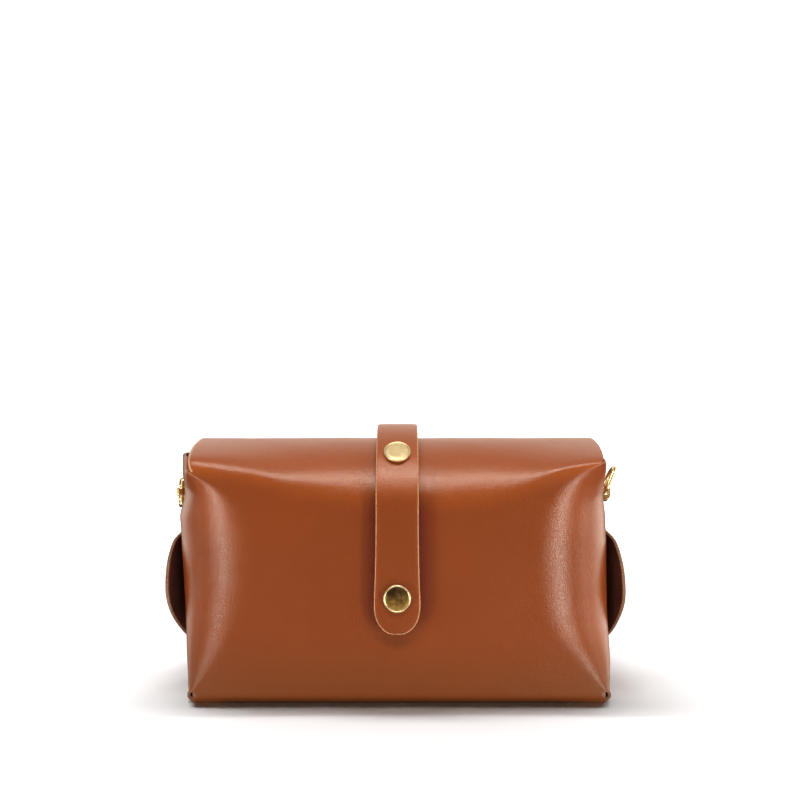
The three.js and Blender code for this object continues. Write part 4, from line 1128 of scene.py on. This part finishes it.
# ------------------------------------------------------------------ floor, light, camera
def build_stage():
    profile = [(y, 0.0) for y in np.concatenate([np.linspace(-2.2, 0.0, 23), np.linspace(0.0, 0.9, 10)[1:]])]
    profile += [(0.9 + 0.7 * math.sin(a), 0.7 * (1 - math.cos(a))) for a in np.linspace(0, math.pi / 2, 16)[1:]]
    profile += [(1.6, z) for z in np.linspace(0.7, 2.6, 10)[1:]]
    xs = np.linspace(-2.6, 2.6, 27)
    verts = [(x * 1000, y * 1000, z * 1000 - 0.02) for y, z in profile for x in xs]
    n = len(xs)
    faces = [
        (j * n + i, j * n + i + 1, (j + 1) * n + i + 1, (j + 1) * n + i)
        for j in range(len(profile) - 1)
        for i in range(n - 1)
    ]
    t = Tree("studio_paper")
    split = t.nodes.new("ShaderNodeSeparateXYZ")
    t.link(t.coord, split.inputs[0])
    y = split.outputs["Y"]
    t.set(Base_Color=(0.92, 0.915, 0.905), Roughness=0.9, Specular_IOR_Level=0.1, Emission_Color=(1.0, 1.0, 1.0))
    glow = t.math("MULTIPLY", t.spread(y, 0.12, 0.5), t.spread(split.outputs["Z"], 1.0, 1.5, 1.0, 0.5))
    aside = t.math("MULTIPLY", split.outputs["X"], split.outputs["X"])
    glow = t.math("MAXIMUM", glow, t.math("MAXIMUM", t.spread(aside, 0.12, 0.36), t.spread(y, -0.24, -0.4)))
    t.set(Emission_Strength=glow)
    ends = np.array([[[verts[i][0], verts[i][1]] for i in f] for f in faces])
    ahead = ends[:, :, 1].max(1) < 1.0
    close = (np.abs(ends[:, :, 0]).max(1) < 601) & (ends[:, :, 1].min(1) > -401)
    near = make("studio_floor_front", np.array(verts), [f for f, k in zip(faces, ahead & close) if k], [t.mat], shift=False)
    far = make("studio_floor", np.array(verts), [f for f, k in zip(faces, ~ahead) if k], [t.mat], shift=False)
    # paper all round, seen by the camera only
    rim = [(2600, 1600), (2600, -2200), (-2600, -2200), (-2600, 1600)]
    posts = [(x, y, z) for x, y in rim for z in (-0.02, 2600.0)]
    wall = [tuple(len(verts) + 2 * k + i for i in (0, 1, 3, 2)) for k in range(3)]
    outer = make("studio_paper_round", np.array(verts + posts), [f for f, k in zip(faces, ahead & ~close) if k] + wall, [t.mat], shift=False)
    near.visible_glossy = near.visible_shadow = far.visible_glossy = False
    outer.visible_diffuse = outer.visible_glossy = outer.visible_shadow = outer.visible_transmission = False
    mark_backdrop(near, far, outer)
    return near, far


STAGE = build_stage()


def area(name, at, target, size, power, colour=(1, 1, 1)):
    d = bpy.data.lights.new(name, "AREA")
    d.shape = "RECTANGLE"
    d.size, d.size_y = size
    d.energy = power
    d.color = colour
    o = bpy.data.objects.new(name, d)
    bpy.context.scene.collection.objects.link(o)
    o.location = at
    o.rotation_euler = (Vector(target) - Vector(at)).to_track_quat("-Z", "Y").to_euler()
    return o


# One group of soft boxes is flagged off the floor, the other lights the floor alone.
WARM = (1.0, 0.95, 0.82)
BAG_LIGHTS = [
    area("ceiling", (0.0, 0.05, 1.15), (0, 0.05, 0), (1.4, 1.2), 3.5, WARM),
    area("key_front", (0.0, -0.66, 0.98), (0, -0.02, 0.09), (1.1, 0.22), 10.0, WARM),
    area("side_right", (0.69, -0.62, -0.13), (0.06, -0.04, 0.04), (0.10, 0.66), 4.4, WARM),
    area("side_left", (-0.76, -0.55, -0.24), (-0.06, -0.04, 0.04), (0.11, 0.54), 3.6, WARM),
    area("far_right", (0.98, 0.33, 0.1), (0.1, 0.0, 0.07), (0.8, 0.6), 4.8, WARM),
    area("far_left", (-0.95, 0.45, 0.1), (-0.1, 0.0, 0.07), (0.7, 0.6), 2.8, WARM),
    area("back_card", (0.0, 1.05, 0.75), (0, 0, 0.1), (2.6, 1.3), 11.0, WARM),
    area("room_front", (0.0, -1.5, 0.05), (0, 0, 0.05), (3.0, 2.4), 4.4, (1.0, 0.605, 0.21)),
]
BRASS_LIGHTS = [
    area("ceiling_brass", (0.0, 0.05, 1.15), (0, 0.05, 0), (1.4, 1.2), 2.6, WARM),
    area("rim_left", (-0.85, -0.35, 0.05), (0, -0.04, 0.06), (0.5, 0.8), 1.5, WARM),
    area("rim_right", (0.85, -0.35, 0.05), (0, -0.04, 0.06), (0.5, 0.8), 1.5, WARM),
    area("rim_low", (0.0, -0.50, -0.50), (0, -0.04, 0.06), (0.9, 0.3), 1.2, WARM),
]
COOL = (0.97, 0.985, 1.0)
FLOOR_LIGHTS = [
    area("top_bar", (-0.10, 0.06, 0.75), (-0.10, 0.06, 0), (0.5, 0.02), 2.2, COOL),
    area("top_near", (-0.05, 0.035, 0.8), (-0.05, 0.035, 0), (0.7, 0.11), 4.2, COOL),
    area("top_rear", (0.0, 0.29, 0.8), (0, 0.29, 0), (1.6, 0.43), 5.6, COOL),
]
METAL = [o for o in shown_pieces() if o.data.materials[0] in (BRASS, BRASS_SATIN, BRASS_PAINTED_DARK)]
for name, lights, lit in (("bag_lit", BAG_LIGHTS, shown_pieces()), ("brass_lit", BRASS_LIGHTS, METAL), ("floor_lit", FLOOR_LIGHTS, STAGE)):
    group = bpy.data.collections.new(name)
    for o in lit:
        group.objects.link(o)
    for light in lights:
        light.light_linking.receiver_collection = group

world = bpy.data.worlds.new("studio")
bpy.context.scene.world = world
world.use_nodes = True
world.node_tree.nodes["Background"].inputs["Color"].default_value = (0.035, 0.028, 0.022, 1)
world.node_tree.nodes["Background"].inputs["Strength"].default_value = 1.0

cam = bpy.data.cameras.new("camera")
cam.lens, cam.sensor_width = 33.525, 36.0
cam.clip_start = 0.01
cam_ob = bpy.data.objects.new("camera", cam)
bpy.context.scene.collection.objects.link(cam_ob)
cam_ob.location = (0.003, -0.380, 0.1403)
cam_ob.rotation_euler = (math.pi / 2, 0, 0)
bpy.context.scene.camera = cam_ob
bpy.context.scene.view_settings.view_transform = "Standard"
bpy.context.scene.view_settings.look = "None"

bpy.context.view_layer.update()
